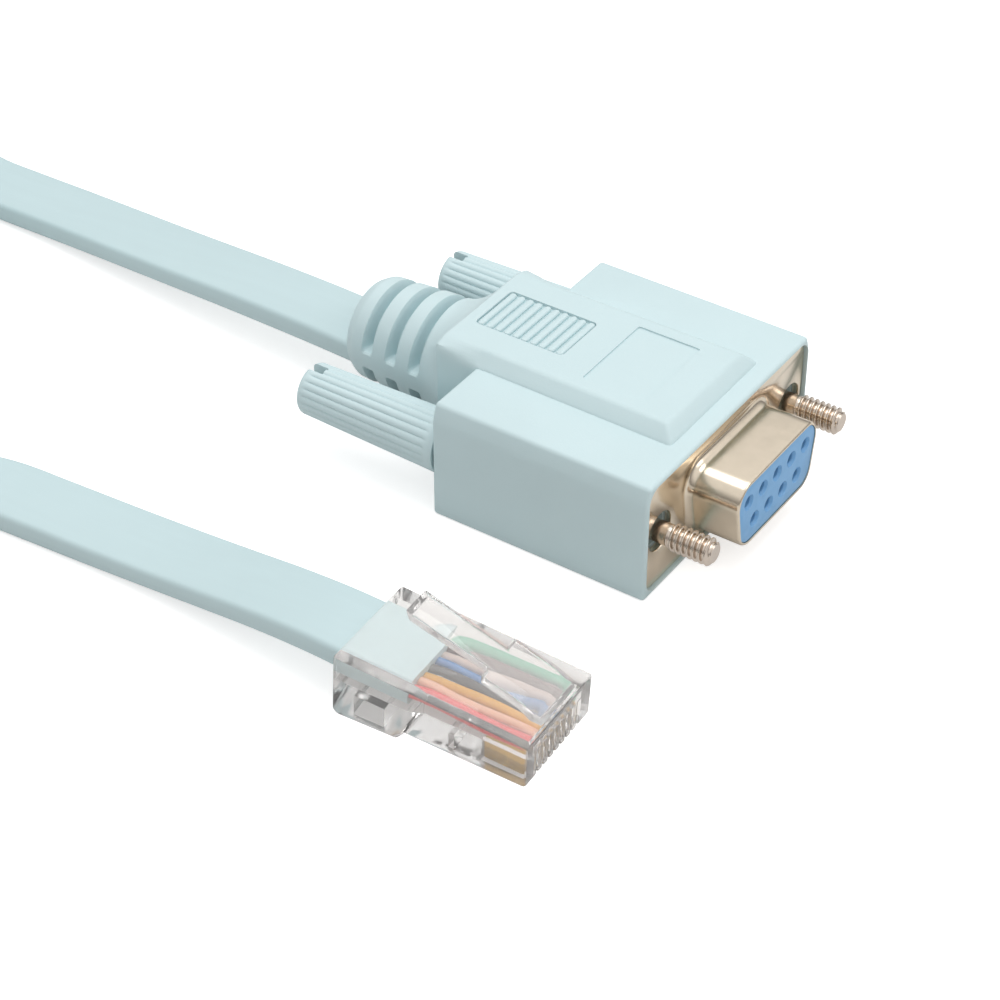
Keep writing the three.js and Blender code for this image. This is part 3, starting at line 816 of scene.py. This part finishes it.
@dataclass
class FlatCable:
    """The flat cable from the hood to the modular plug, its spare length in a coil.

    Route points are (x, y, z, twist): at no twist the cable lies flat, at 90 degrees it stands on
    its edge.
    """

    plug: PlugFrame
    width: float = 8.2
    edge: float = 0.6
    length: float = 1.8
    inside_hood: float = 2.0
    plug_gap: float = 0.3
    unevenness: tuple[Point, ...] = ((0.03, 0.21, 0.0), (0.02, 0.083, 1.0))
    centreline: list[Point] = field(default_factory=list)
    coil_centre: tuple[float, float] = (-145.5, -32.5)
    coil_outer: float = 46.0
    turn_pitch: float = 3.1
    storey: float = 8.6
    lift: float = 4.15
    coil_start: float = 88.0
    coil_end: float = 300.0
    whole_turns: int = 5
    rise: float = 90.0
    steps_a_turn: int = 48
    hood_run: list[Knot] = field(default_factory=lambda: [
        (-43.6, 0.1, 5.2, 0), (-50, 0.5, 5.05, 0), (-60, 1.2, 4.5, 0), (-71, 2.2, 3.5, 0),
        (-82, 3.3, 2.45, 0), (-90, 4, 1.75, 0), (-97, 4.2, 1.45, 0), (-103.5, 4.3, 1.5, 1),
        (-109, 5.4, 2.4, 14), (-114.5, 7.9, 3.65, 38), (-120.2, 10.8, 4.35, 62),
        (-127.6, 12.8, 4.3, 86),
    ])
    plug_run: list[Knot] = field(default_factory=lambda: [
        (-20, -38.9, 4.85, 0), (-26, -38.4, 4.05, 0), (-33, -37.9, 2.9, 0), (-40, -37.6, 1.95, 0),
        (-48, -37.7, 1.4, 0), (-56, -38.15, 1.3, 0), (-62, -38.7, 1.35, 0), (-69, -41.1, 2.1, 8),
        (-76, -44.9, 3.6, 22), (-84, -49.7, 5.8, 38), (-92, -54.5, 8.3, 56),
        (-100, -59.2, 10.8, 73), (-108.4, -64.1, 12.75, 88),
    ])

    def coil_points(self) -> list[Knot]:
        """Lays the coil: a lower storey winding in, a rise, and an upper storey winding out.

        Returns:
            The coil's route points.
        """
        total = self.coil_end - self.coil_start + 360 * self.whole_turns
        storey_sweep = (total - self.rise) / 2
        steps = int(total / 360 * self.steps_a_turn)
        points = []
        for i in range(steps + 1):
            swept = total * i / steps
            inward = min(swept, storey_sweep, total - swept)
            radius = self.coil_outer - self.turn_pitch * inward / 360
            up = float(smoothstep(storey_sweep, storey_sweep + self.rise, swept))
            angle = math.radians(self.coil_start + swept)
            points.append((
                self.coil_centre[0] + radius * math.cos(angle),
                self.coil_centre[1] + radius * math.sin(angle),
                self.lift + self.storey * up, 90.0,
            ))
        return points

    def control_points(self) -> list[Knot]:
        """Strings the whole route together, from the hood to the inside of the plug.

        Returns:
            The route points in order.
        """
        inside = [
            (*self.plug.point(x, 0, JACKET_HEIGHT), 0)
            for x in (JACKET_INSIDE, JACKET_INSIDE / 2, -self.plug_gap)
        ]
        start = [(CABLE_EXIT[0] + self.inside_hood, 0, CABLE_EXIT[2], 0)]
        back = list(reversed(inside + self.plug_run))
        return start + self.hood_run + self.coil_points() + back

    def route(self, spacing: float = 1.4) -> tuple[np.ndarray, np.ndarray]:
        """Runs a smooth centripetal curve through the route points.

        Args:
            spacing: the distance between the points that it gives.

        Returns:
            The points, evenly spaced, and the twist at each in degrees.
        """
        control = np.array(self.control_points())
        padded = np.vstack([2 * control[0] - control[1], control, 2 * control[-1] - control[-2]])
        dense = []
        for i in range(1, len(padded) - 2):
            p = padded[i - 1:i + 3]
            gaps = np.maximum(np.linalg.norm(np.diff(p[:, :3], axis=0), axis=1), 1e-6) ** 0.5
            t = np.concatenate([[0], np.cumsum(gaps)])
            for u in np.linspace(t[1], t[2], 24, endpoint=False):
                a = [weighed(p[k], p[k + 1], t[k], t[k + 1], u) for k in range(3)]
                b = [weighed(a[k], a[k + 1], t[k], t[k + 2], u) for k in range(2)]
                dense.append(weighed(b[0], b[1], t[1], t[2], u))
        dense.append(padded[-2])
        dense = np.array(dense)
        steps = np.linalg.norm(np.diff(dense[:, :3], axis=0), axis=1)
        along = np.concatenate([[0], np.cumsum(steps)])
        places = np.linspace(0, along[-1], int(along[-1] / spacing) + 1)
        even = np.stack([np.interp(places, along, dense[:, k]) for k in range(4)], 1)
        return even[:, :3], even[:, 3]

    def section(self) -> np.ndarray:
        """The cable's section: two broad flats and softly rounded edges."""
        half, thick = self.width / 2, CABLE_THICKNESS / 2
        return np.array(rounded(rectangle((-half, -thick), (half, thick)), self.edge, 5))

    def build(self) -> bpy.types.Object:
        """Sweeps the section along the route.

        Returns:
            The cable's object.
        """
        points, twists = self.route()
        tangents = np.gradient(points, axis=0)
        tangents /= np.linalg.norm(tangents, axis=1)[:, None]
        middle = len(points) // 2
        section = self.section()
        rings = []
        for i, (point, tangent) in enumerate(zip(points, tangents)):
            heading = tangent if i < middle else -tangent
            side = np.cross((0, 0, 1), heading)
            side /= np.linalg.norm(side)
            over = np.cross(heading, side)
            turn = math.radians(twists[i])
            across = side * math.cos(turn) + over * math.sin(turn)
            thick = np.cross(tangent, across)
            sway = sum(size * math.sin(i * rate + phase) for size, rate, phase in self.unevenness)
            rings.append(point + np.outer(section[:, 0], across)
                         + np.outer(section[:, 1] * (1 + sway), thick))
        obj = shade(skin("flat_cable", rings), 50)
        steps = np.linalg.norm(np.diff(points, axis=0), axis=1)
        log.info("cable route: %.1f mm", float(np.sum(steps)))
        deliver(obj, HOOD_FRAME, CABLE_FINISH, Body.CABLE,
                ("cable_hood_run", "cable_coil", "cable_plug_run"))
        self.centreline = [tuple(HOOD_FRAME @ Vector(p)) for p in points]
        return obj


@dataclass
class Hood:
    """The vinyl moulding: wings, raised middle, neck and segmented strain relief."""

    width: float = HOOD_WIDTH
    wing_height: float = WING_HEIGHT
    wing_length: float = 24.7
    rise: float = 1.45
    top_half: float = 6.7
    foot_half: float = 8.2
    neck_length: float = 4.8
    dome_length: float = 3.85
    relief_length: float = 9.95
    axis_z: float = 6.9
    relief_radius: float = 6.1
    relief_end: float = 5.5
    exit_radius: float = 4.8
    groove_pitch: float = 3.05
    groove_width: float = 1.15
    groove_depth: float = 1.75
    grooves: int = 3
    screw_spacing: float = SCREW_SPACING
    bore: float = 3.8
    screw_z: float = SCREW_HEIGHT
    rim_wall: float = 0.45
    recess_depth: float = 1.25
    grip_rear: float = -28.05
    grip_front: float = -17.6
    grip_half: float = 3.35
    grip_depth: float = 0.34
    grip_ribs: int = 10
    rib_half: float = 0.36
    rib_gap: float = 0.12
    panel_rear: float = -14.0
    panel_front: float = -6.85
    panel_half: float = 5.3
    panel_depth: float = 0.16

    @property
    def top(self) -> float:
        """Height of the raised middle."""
        return self.wing_height + self.rise

    def wings(self) -> bpy.types.Object:
        """The two wings as one block with softened edges."""
        half, high = self.width / 2, self.wing_height
        outline = [(-half, 0), (half, 0), (half, high - 1.9), (half - 0.6, high),
                   (-half + 0.6, high), (-half, high - 1.9)]
        return bevelled(prism_x("wings", outline, -self.wing_length, 0), 0.42, 4, 8)

    def plateau(self) -> bpy.types.Object:
        """The raised middle over the wings, bevelled at its sides and front."""
        rear = -self.wing_length - 0.6
        levels = [(-1.9, self.foot_half, 11.0), (-1.9, self.foot_half, self.wing_height),
                  (-3.3, self.top_half, self.top)]
        rings = [
            np.array([(rear, -w, z), (front, -w - 0.25, z), (front, w + 0.25, z), (rear, w, z)])
            for front, w, z in levels
        ]
        return bevelled(skin("plateau", rings), 0.4, 4, 20)

    def neck_outline(self, edge: float) -> Outline:
        """Outline of the neck with its top edges bevelled down to a height."""
        half, top = self.foot_half, self.top_half
        corners = [(-half, 0.0), (half, 0.0), (half, edge), (top, self.top), (-top, self.top),
                   (-half, edge)]
        return rounded(corners, 0.35, 3)

    def reach(self, outline: Outline, angles: np.ndarray) -> np.ndarray:
        """Distance from the relief's axis to an outline, in each direction."""
        corners = np.array(outline) - (0, self.axis_z)
        edges = np.roll(corners, -1, axis=0) - corners
        out = np.zeros(len(angles))
        for i, angle in enumerate(angles):
            d = np.array((math.cos(angle), math.sin(angle)))
            cross = d[0] * edges[:, 1] - d[1] * edges[:, 0]
            safe = np.where(np.abs(cross) < 1e-9, 1.0, cross)
            along = (corners[:, 0] * edges[:, 1] - corners[:, 1] * edges[:, 0]) / safe
            part = (corners[:, 0] * d[1] - corners[:, 1] * d[0]) / safe
            good = (np.abs(cross) >= 1e-9) & (along > 0) & (part >= -1e-6) & (part <= 1 + 1e-6)
            out[i] = along[good].max()
        return out

    def groove(self, x: float, angles: np.ndarray) -> np.ndarray:
        """Depth of the relief's grooves at a station: none over its side bands."""
        depth = 0.0
        start = -self.wing_length - self.neck_length - self.dome_length
        for i in range(self.grooves):
            centre = start - i * self.groove_pitch - 0.55
            away = abs(x - centre)
            depth = max(depth, 1 - float(smoothstep(self.groove_width / 2 - 0.22,
                                                    self.groove_width / 2 + 0.14, away)))
        heights = self.relief_radius * np.sin(angles)
        open_arc = smoothstep(0.75, 1.25, np.abs(heights + 0.35) - 0.25)
        return self.groove_depth * depth * open_arc

    def stations(self) -> list[float]:
        """Places along X where the neck and relief get a ring."""
        neck_rear = -self.wing_length - self.neck_length
        dome_rear = neck_rear - self.dome_length
        rear = dome_rear - self.relief_length
        xs = list(np.linspace(-self.wing_length + 1.0, neck_rear + 0.25, 6))
        xs += [neck_rear + 0.12, neck_rear, neck_rear - 0.12]
        xs += list(np.linspace(neck_rear - 0.3, dome_rear + 0.3, 16))
        xs += list(np.linspace(dome_rear + 0.2, rear + 0.35, 120))
        return xs + [rear + 0.2, rear + 0.08, rear]

    def neck_and_relief(self) -> bpy.types.Object:
        """One skin from the neck inside the wings to the relief's rear face."""
        count = 180
        angles = (np.arange(count) + 0.5) / count * 2 * math.pi - math.pi
        neck_rear = -self.wing_length - self.neck_length
        dome_rear = neck_rear - self.dome_length
        rear = dome_rear - self.relief_length
        front_reach = self.reach(self.neck_outline(self.wing_height), angles)
        rear_reach = self.reach(self.neck_outline(self.wing_height + 1.0), angles)
        rings = []
        for x in self.stations():
            if x >= neck_rear:
                share = (x - neck_rear) / self.neck_length
                radius = rear_reach + (front_reach - rear_reach) * min(1.0, share)
                radius = radius - 0.22 * (1 - float(smoothstep(0, 0.35, x - neck_rear)))
            elif x > dome_rear:
                share = (neck_rear - x) / self.dome_length
                eased = math.sin(share * math.pi / 2) ** 0.8
                radius = (rear_reach - 0.22) * (1 - eased) + self.relief_radius * eased
            else:
                share = (dome_rear - x) / self.relief_length
                body = self.relief_radius + (self.relief_end - self.relief_radius) * share
                to_end = x - rear
                exit_drop = (body - self.exit_radius) * (1 - float(smoothstep(-0.3, 1.5, to_end)))
                radius = np.full(count, body - exit_drop)
                if to_end < 0.35:
                    radius = radius - 0.3 * (1 - to_end / 0.35) ** 2
            radius = radius - self.groove(x, angles)
            rings.append(np.stack([np.full(count, x), radius * np.cos(angles),
                                   np.maximum(self.axis_z + radius * np.sin(angles), 0.0)], 1))
        return skin("neck", rings)

    def grip(self) -> tuple[list[bpy.types.Object], list[bpy.types.Object]]:
        """The ribbed grip: the pockets to cut and the ribs to stand in them."""
        half, depth = self.grip_half, self.grip_depth
        corners = rectangle((self.grip_rear, -half), (self.grip_front, half))
        pocket = prism_z("pocket", rounded(corners, 0.5, 4), self.top - depth, self.top + 1)
        ribs = []
        pitch = (self.grip_front - self.grip_rear) / self.grip_ribs
        for i in range(self.grip_ribs):
            centre = self.grip_rear + (i + 0.5) * pitch
            rings = []
            for level, shrink in ((-depth - 0.05, 0.0), (-0.13, 0.0), (-0.03, 0.08), (0.0, 0.2)):
                w, reach = self.rib_half - shrink, half - self.rib_gap - shrink
                corners = rectangle((centre - w, -reach), (centre + w, reach))
                outline = rounded(corners, w * 0.98, 5)
                rings.append(np.array([(x, y, self.top + level) for x, y in outline]))
            ribs.append(skin(f"rib_{i}", rings))
        return [pocket], ribs

    def panel(self) -> bpy.types.Object:
        """The shallow rectangle between the grip and the front edge."""
        half = self.panel_half
        corners = rectangle((self.panel_rear, -half), (self.panel_front, half))
        return prism_z("panel", rounded(corners, 0.25, 3), self.top - self.panel_depth, self.top + 1)

    def recess(self) -> bpy.types.Object:
        """The recess in the front that takes the connector's flange."""
        half, high = self.width / 2 - self.rim_wall, self.wing_height - self.rim_wall
        corners = rectangle((-half, self.rim_wall), (half, high))
        return prism_x("recess", rounded(corners, 1.6, 6), -self.recess_depth, 1.0)

    def build(self) -> bpy.types.Object:
        """Joins the moulding's forms, cuts its openings and sets it on its body in the row frame."""
        hood = self.wings()
        combine(hood, [self.plateau(), self.neck_and_relief()], "UNION")
        pockets, ribs = self.grip()
        bores = [
            lathe_x("bore", [(-self.wing_length - 1, self.bore / 2), (1, self.bore / 2)],
                    side * self.screw_spacing / 2, self.screw_z, 32)
            for side in (-1, 1)
        ]
        combine(hood, pockets + [self.panel(), self.recess()] + bores, "DIFFERENCE")
        combine(hood, ribs, "UNION")
        hood.name = "hood_moulding"
        shade(hood, 32)
        return deliver(hood, HOOD_FRAME, HOOD_FINISH, Body.CABLE, ("hood",))


@dataclass
class DConnector:
    """Nickel-plated shell, blue insulator and nine sockets."""

    axis_z: float = SCREW_HEIGHT
    face_x: float = -0.35
    thickness: float = 0.8
    flange_inset: float = 0.55
    reach: float = 5.8
    wide: float = 16.33
    tall: float = 7.9
    lean: float = 10.0
    corner: float = 2.3
    wall: float = 0.4
    fillet: float = 0.95
    hole: float = 4.2
    spacing: float = SCREW_SPACING
    pitch: float = 2.77
    row_gap: float = 2.84

    def d_outline(self, margin: float, steps: int = 8) -> Outline:
        """The D shape, wide row upwards, drawn in by a margin."""
        lean = math.radians(self.lean)
        tall = self.tall / 2 - margin
        wide = self.wide / 2 - margin * (1 / math.cos(lean) - math.tan(lean))
        narrow = wide - 2 * tall * math.tan(lean)
        corners = [(-narrow, self.axis_z - tall), (narrow, self.axis_z - tall),
                   (wide, self.axis_z + tall), (-wide, self.axis_z + tall)]
        return rounded(corners, self.corner - margin, steps)

    def shroud(self) -> bpy.types.Object:
        """The drawn shroud: a fillet off the flange, straight walls and a turned-in edge."""
        front = self.face_x + self.reach
        stations = [(self.face_x - self.thickness + 0.05, self.wall)]
        stations.append((self.face_x - self.thickness + 0.05, -self.fillet - 0.02))
        stations.append((self.face_x - 0.02, -self.fillet - 0.02))
        for k in range(9):
            turn = math.radians(90 * k / 8)
            stations.append((self.face_x + self.fillet * (1 - math.cos(turn)),
                             -self.fillet * (1 - math.sin(turn))))
        for k in range(6):
            turn = math.radians(80 * k / 5)
            stations.append((front - 0.36 * (1 - math.sin(turn)), 0.36 * (1 - math.cos(turn))))
        stations.append((front - 0.06, self.wall))
        rings = [np.array([(x, y, z) for y, z in self.d_outline(m)]) for x, m in stations]
        return skin("shroud", rings, caps=False, closed=True)

    def flange(self) -> bpy.types.Object:
        """The flange plate with its opening and screw holes."""
        half, low = HOOD_WIDTH / 2 - self.flange_inset, self.flange_inset
        corners = rounded(rectangle((-half, low), (half, WING_HEIGHT - self.flange_inset)), 1.5, 6)
        plate = prism_x("plate", corners, self.face_x - self.thickness, self.face_x)
        cuts = [prism_x("cut", self.d_outline(-0.3), -4, 4)]
        cuts += [
            lathe_x("hole", [(-4, self.hole / 2), (4, self.hole / 2)], side * self.spacing / 2,
                    self.axis_z, 40)
            for side in (-1, 1)
        ]
        return bevelled(combine(plate, cuts, "DIFFERENCE"), 0.12, 2, 40)

    def socket_places(self) -> list[tuple[float, float]]:
        """The sockets' places: five in the upper row, four in the lower."""
        places = []
        for count, side in ((5, 1), (4, -1)):
            for i in range(count):
                places.append(((i - (count - 1) / 2) * self.pitch,
                               self.axis_z + side * self.row_gap / 2))
        return places

    def build(self) -> None:
        """Builds the shell, the insulator and the contacts."""
        shell = shade(join("connector_shell", [self.flange(), self.shroud()]), 40)
        deliver(shell, HOOD_FRAME, NICKEL_FINISH, Body.CABLE, ("metal_shell",))
        front = self.face_x + self.reach - 0.12
        insulator = bevelled(
            prism_x("insulator_block", self.d_outline(self.wall + 0.04),
                    self.face_x - self.thickness, front), 0.1, 2, 60)
        holes = [
            lathe_x("socket", [(front - 5.4, 0.66), (front - 0.3, 0.66), (front + 0.01, 0.88),
                               (front + 0.5, 0.88)], y, z, 28)
            for y, z in self.socket_places()
        ]
        combine(insulator, holes, "DIFFERENCE")
        shade(insulator, 30)
        deliver(insulator, HOOD_FRAME, INSULATOR_FINISH, Body.CABLE, ("insulator",))
        for i, (y, z) in enumerate(self.socket_places()):
            back, lip = front - 5.2, front - 0.85
            tube = lathe_x(f"socket_tube_{i + 1}",
                           [(back, 0.6), (lip - 0.1, 0.6), (lip, 0.54), (lip, 0.46),
                            (back + 0.4, 0.42), (back + 0.4, 0.01)], y, z, 24)
            shade(tube, 40)
            deliver(tube, HOOD_FRAME, GILT_FINISH, Body.CABLE,
                    (f"socket_contact_{i + 1}",))


@dataclass
class Thumbscrew:
    """One captive thumbscrew: a ribbed vinyl head on a threaded screw."""

    side: int
    body: Body
    label: str
    axis_z: float = SCREW_HEIGHT
    spacing: float = SCREW_SPACING
    front: float = -25.0
    length: float = 17.0
    radius: float = 3.18
    end_radius: float = 2.8
    ribs: int = 22
    rib_depth: float = 0.17
    slot_width: float = 1.15
    slot_depth: float = 1.9
    screw_radius: float = 1.42
    shank_radius: float = 1.12
    tip: float = 5.75
    thread_length: float = 4.9
    thread_pitch: float = 0.635

    @property
    def y(self) -> float:
        """Where its axis lies across the connector."""
        return self.side * self.spacing / 2

    def head(self) -> bpy.types.Object:
        """The head: ribbed along its length, smooth at its ends, slotted at the rear."""
        angles = round_angles(self.ribs * 8)
        rear = self.front - self.length
        xs = [rear, rear + 0.05, rear + 0.16, rear + 0.32, rear + 0.55, rear + 0.9]
        xs += list(np.linspace(rear + 1.2, self.front - 1.4, 14))
        xs += [self.front - 1.1, self.front - 0.8, self.front - 0.3, self.front - 0.08, self.front]
        rings = []
        for x in xs:
            share = (x - rear) / self.length
            radius = self.end_radius + (self.radius - self.end_radius) * share
            if x < rear + 0.55:
                drop = 1 - (x - rear) / 0.55
                radius -= 0.5 * (1 - math.sqrt(max(0.0, 1 - drop * drop)))
            if x > self.front - 0.3:
                radius -= 0.12 * (x - self.front + 0.3) / 0.3
            ribbed = float(smoothstep(rear + 0.5, rear + 1.3, x)
                           * (1 - smoothstep(self.front - 1.3, self.front - 0.9, x)))
            wave = np.abs(np.sin(angles * self.ribs / 2)) ** 0.7
            r = radius - self.rib_depth * ribbed * (1 - wave)
            rings.append(ring(x, self.y, self.axis_z, r, angles))
        head = skin(f"head_{self.label}", rings)
        cut = block("slot", (rear - 1, self.y - self.slot_width / 2, -1.0),
                    (rear + self.slot_depth, self.y + self.slot_width / 2, 14.0))
        bore = lathe_x("bore", [(self.front - 8.1, self.screw_radius + 0.1),
                                (self.front + 1, self.screw_radius + 0.1)], self.y, self.axis_z, 32)
        return shade(combine(head, [cut, bore], "DIFFERENCE"), 40)

    def screw(self) -> bpy.types.Object:
        """The screw, its thread cut as a helix and its end chamfered."""
        count = 40
        angles = round_angles(count)
        start = self.tip - self.thread_length
        back = self.front - 8.0
        xs = [back, back + 0.01, self.front + 0.2, self.front + 0.3, start - 0.6, start - 0.3]
        xs += list(np.linspace(start, self.tip - 0.02, 150)) + [self.tip]
        rings = []
        for x in xs:
            if x < self.front + 0.25:
                r = np.full(count, self.screw_radius)
            else:
                phase = ((x - start) / self.thread_pitch - angles / (2 * math.pi)) % 1.0
                crest = smoothstep(0.14, 0.42, 0.5 - np.abs(phase - 0.5))
                run_in = float(smoothstep(start - 0.2, start + 0.5, x))
                minor = self.shank_radius - 0.06 * run_in
                r = minor + (self.screw_radius - minor) * crest * run_in
                r = np.where(x < start - 0.1, self.shank_radius, r)
                chamfer = self.screw_radius - 0.45 * float(smoothstep(self.tip - 0.42, self.tip, x))
                r = np.minimum(r, chamfer)
            rings.append(ring(x, self.y, self.axis_z, r, angles))
        return shade(skin(f"screw_{self.label}", rings), 50)

    def build(self) -> None:
        """Builds the head and the screw on the thumbscrew's own body."""
        deliver(self.head(), HOOD_FRAME, HOOD_FINISH, self.body,
                (f"thumbscrew_head_{self.label}",))
        deliver(self.screw(), HOOD_FRAME, SCREW_FINISH, self.body,
                (f"thumbscrew_screw_{self.label}",))


@dataclass
class ModularPlug:
    """The clear plug with its latch, coloured cores and gilt contacts, in its own frame."""

    frame: PlugFrame
    width: float = 11.68
    length: float = 20.5
    rear_height: float = 7.1
    nose_top: float = 6.7
    foot_length: float = 7.0
    step: float = 1.15
    nose_bottom: float = 1.75
    jacket_inside: float = JACKET_INSIDE
    axis_height: float = JACKET_HEIGHT
    jacket_gap: float = 0.2
    core_pitch: float = 1.02
    core_radius: float = 0.45
    core_sides: int = 20
    nose_wall: float = 0.8
    slot_half: float = 0.31
    blade_thickness: float = 0.32
    latch_wide: float = 6.0
    latch_narrow: float = 3.4
    latch_thickness: float = 1.0
    latch_bend: tuple[float, float] = (18.15, 8.7)
    latch_slope: float = 0.262
    latch_shoulder: float = 13.8
    pieces: list[bpy.types.Object] = field(default_factory=list)

    @property
    def matrix(self) -> Matrix:
        """Takes the plug's frame to the row frame."""
        return HOOD_FRAME @ self.frame.matrix()

    def core_y(self, index: int) -> float:
        """Where a core lies across the plug."""
        return (index - 3.5) * self.core_pitch

    def outer(self) -> bpy.types.Object:
        """The plug's outside, with its foot, step and nose."""
        drop = math.tan(math.radians(self.frame.pitch)) * self.foot_length
        step_top = drop + self.step
        outline = [
            (0, 0.5), (0.5, 0.03), (self.foot_length, drop), (self.foot_length + 0.8, step_top),
            (self.length, self.nose_bottom), (self.length, self.nose_top), (0, self.rear_height),
        ]
        return bevelled(prism_y("outer", outline, self.width), 0.32, 3, 20)

    def cavities(self) -> list[bpy.types.Object]:
        """What is hollow: the cable's way in, the cores' tray, the crimp bar and blade slots."""
        half = CABLE_THICKNESS / 2 + self.jacket_gap
        z, end = self.axis_height, self.length - self.nose_wall
        neck = self.jacket_inside + 0.3
        mouth = prism_y("mouth", [
            (-1, z - half - 0.15), (neck, z - half), (neck + 1.6, z - 0.8), (neck + 1.6, z + 0.8),
            (neck, z + half), (-1, z + half + 0.15),
        ], 8.7)
        tray = prism_y("tray", [
            (neck + 0.2, z - 0.78), (end - 5, z - 0.72), (end, z - 0.72), (end, z + 0.55),
            (neck + 0.2, z + 0.78),
        ], 8.5)
        bar = block("bar", (2.0, -4.1, -1), (5.2, 4.1, 2.4))
        rib = block("rib", (11.9, -4.2, -1), (12.5, 4.2, 3.2))
        cuts = [mouth, tray, bar, rib]
        for i in range(len(CORES)):
            low, high = self.core_y(i) - self.slot_half, self.core_y(i) + self.slot_half
            cuts.append(block("slot", (end - 4.5, low, -1), (end, high, z - 0.1)))
            cuts.append(block("nick", (self.length - 0.3, low, -1),
                              (self.length + 1, high, self.nose_top - 1.6)))
        return cuts

    def build_body(self) -> None:
        """Cuts the cavities from the outside."""
        body = combine(self.outer(), self.cavities(), "DIFFERENCE")
        body.name = "plug_moulding"
        body.visible_shadow = False
        shade(body, 25)
        deliver(body, self.matrix, CLEAR_FINISH, Body.CABLE, ("plug_body",))
        self.pieces.append(body)

    def tail_height(self, x: float) -> float:
        """Height of the latch's sloping top at a station."""
        return self.latch_bend[1] + self.latch_slope * (self.latch_bend[0] - x)

    def build_latch(self) -> None:
        """The spring latch: wide at its bend, narrow along its tail."""
        side = [
            (18.95, 7.0), (20.25, 7.0), (20.05, 7.9), (18.15, 8.7), (5.0, self.tail_height(5.0)),
            (5.4, self.tail_height(5.4) - self.latch_thickness),
            (17.85, self.tail_height(17.85) - self.latch_thickness),
        ]
        wide, narrow, shoulder = self.latch_wide / 2, self.latch_narrow / 2, self.latch_shoulder
        plan = prism_z("plan", [
            (4.0, -narrow), (shoulder, -narrow), (shoulder, -wide), (21.0, -wide), (21.0, wide),
            (shoulder, wide), (shoulder, narrow), (4.0, narrow),
        ], 5.0, 14.0)
        latch = combine(prism_y("side", side, self.width), [plan], "INTERSECT")
        latch = bevelled(latch, 0.16, 3, 30)
        latch.name = "spring_latch"
        latch.visible_shadow = False
        shade(latch, 25)
        deliver(latch, self.matrix, CLEAR_FINISH, Body.LATCH, ("plug_latch",))
        self.pieces.append(latch)

    def build_cores(self) -> None:
        """The cores, fanned a little where they leave the jacket, with a blade under each."""
        start, end = self.jacket_inside + 0.05, self.length - self.nose_wall - 0.3
        stations = np.linspace(start, end, 26)
        angles = round_angles(self.core_sides)
        for i, (name, rgb) in enumerate(CORES):
            rings = []
            for x in stations:
                share = (x - start) / (end - start)
                sway = 0.06 * math.sin(share * 7 + i * 1.9)
                lift = 0.12 * math.sin(share * 5 + i * 2.3) * (1 - share)
                y, z = self.core_y(i) + sway, self.axis_height + lift - 0.05 * share
                r = self.core_radius
                rings.append(np.stack([np.full(self.core_sides, x), y + r * np.cos(angles),
                                       z + r * 0.96 * np.sin(angles)], 1))
            core = shade(skin(f"core_wire_{name}", rings), 50)
            finish = SolidPlastic(f"core_{name}", linear(rgb), 0.35)
            deliver(core, self.matrix, finish, Body.CABLE, (f"core_{i + 1}_{name}",))
            self.pieces.append(core)
            back, front = self.length - self.nose_wall - 4.35, self.length - self.nose_wall - 0.15
            top = self.axis_height - 0.55
            corners = rectangle((back, self.nose_bottom + 0.25), (front, top))
            blade = prism_y(f"blade_{i + 1}", rounded(corners, 0.3, 4), self.blade_thickness,
                            self.core_y(i))
            bevelled(blade, 0.05, 2, 40)
            shade(blade, 30)
            deliver(blade, self.matrix, GILT_FINISH, Body.CABLE,
                    (f"plug_contact_{i + 1}",))
            self.pieces.append(blade)

    def build(self) -> None:
        """Builds every piece of the plug."""
        self.build_body()
        self.build_latch()
        self.build_cores()


def main() -> None:
    """Builds the camera and cord first, then each sub-assembly, then the studio's floor, sky and
    lights.
    """
    bpy.ops.wm.read_factory_settings(use_empty=True)
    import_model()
    studio = Studio()
    studio.build_camera()
    plug_frame = PlugFrame()
    cable = FlatCable(plug_frame)
    cable_object = cable.build()
    Hood().build()
    DConnector().build()
    Thumbscrew(-1, Body.SCREW_NEAR, "near").build()
    Thumbscrew(1, Body.SCREW_FAR, "far").build()
    plug = ModularPlug(plug_frame)
    plug.build()
    studio.build()


if __name__ == "__main__":
    main()
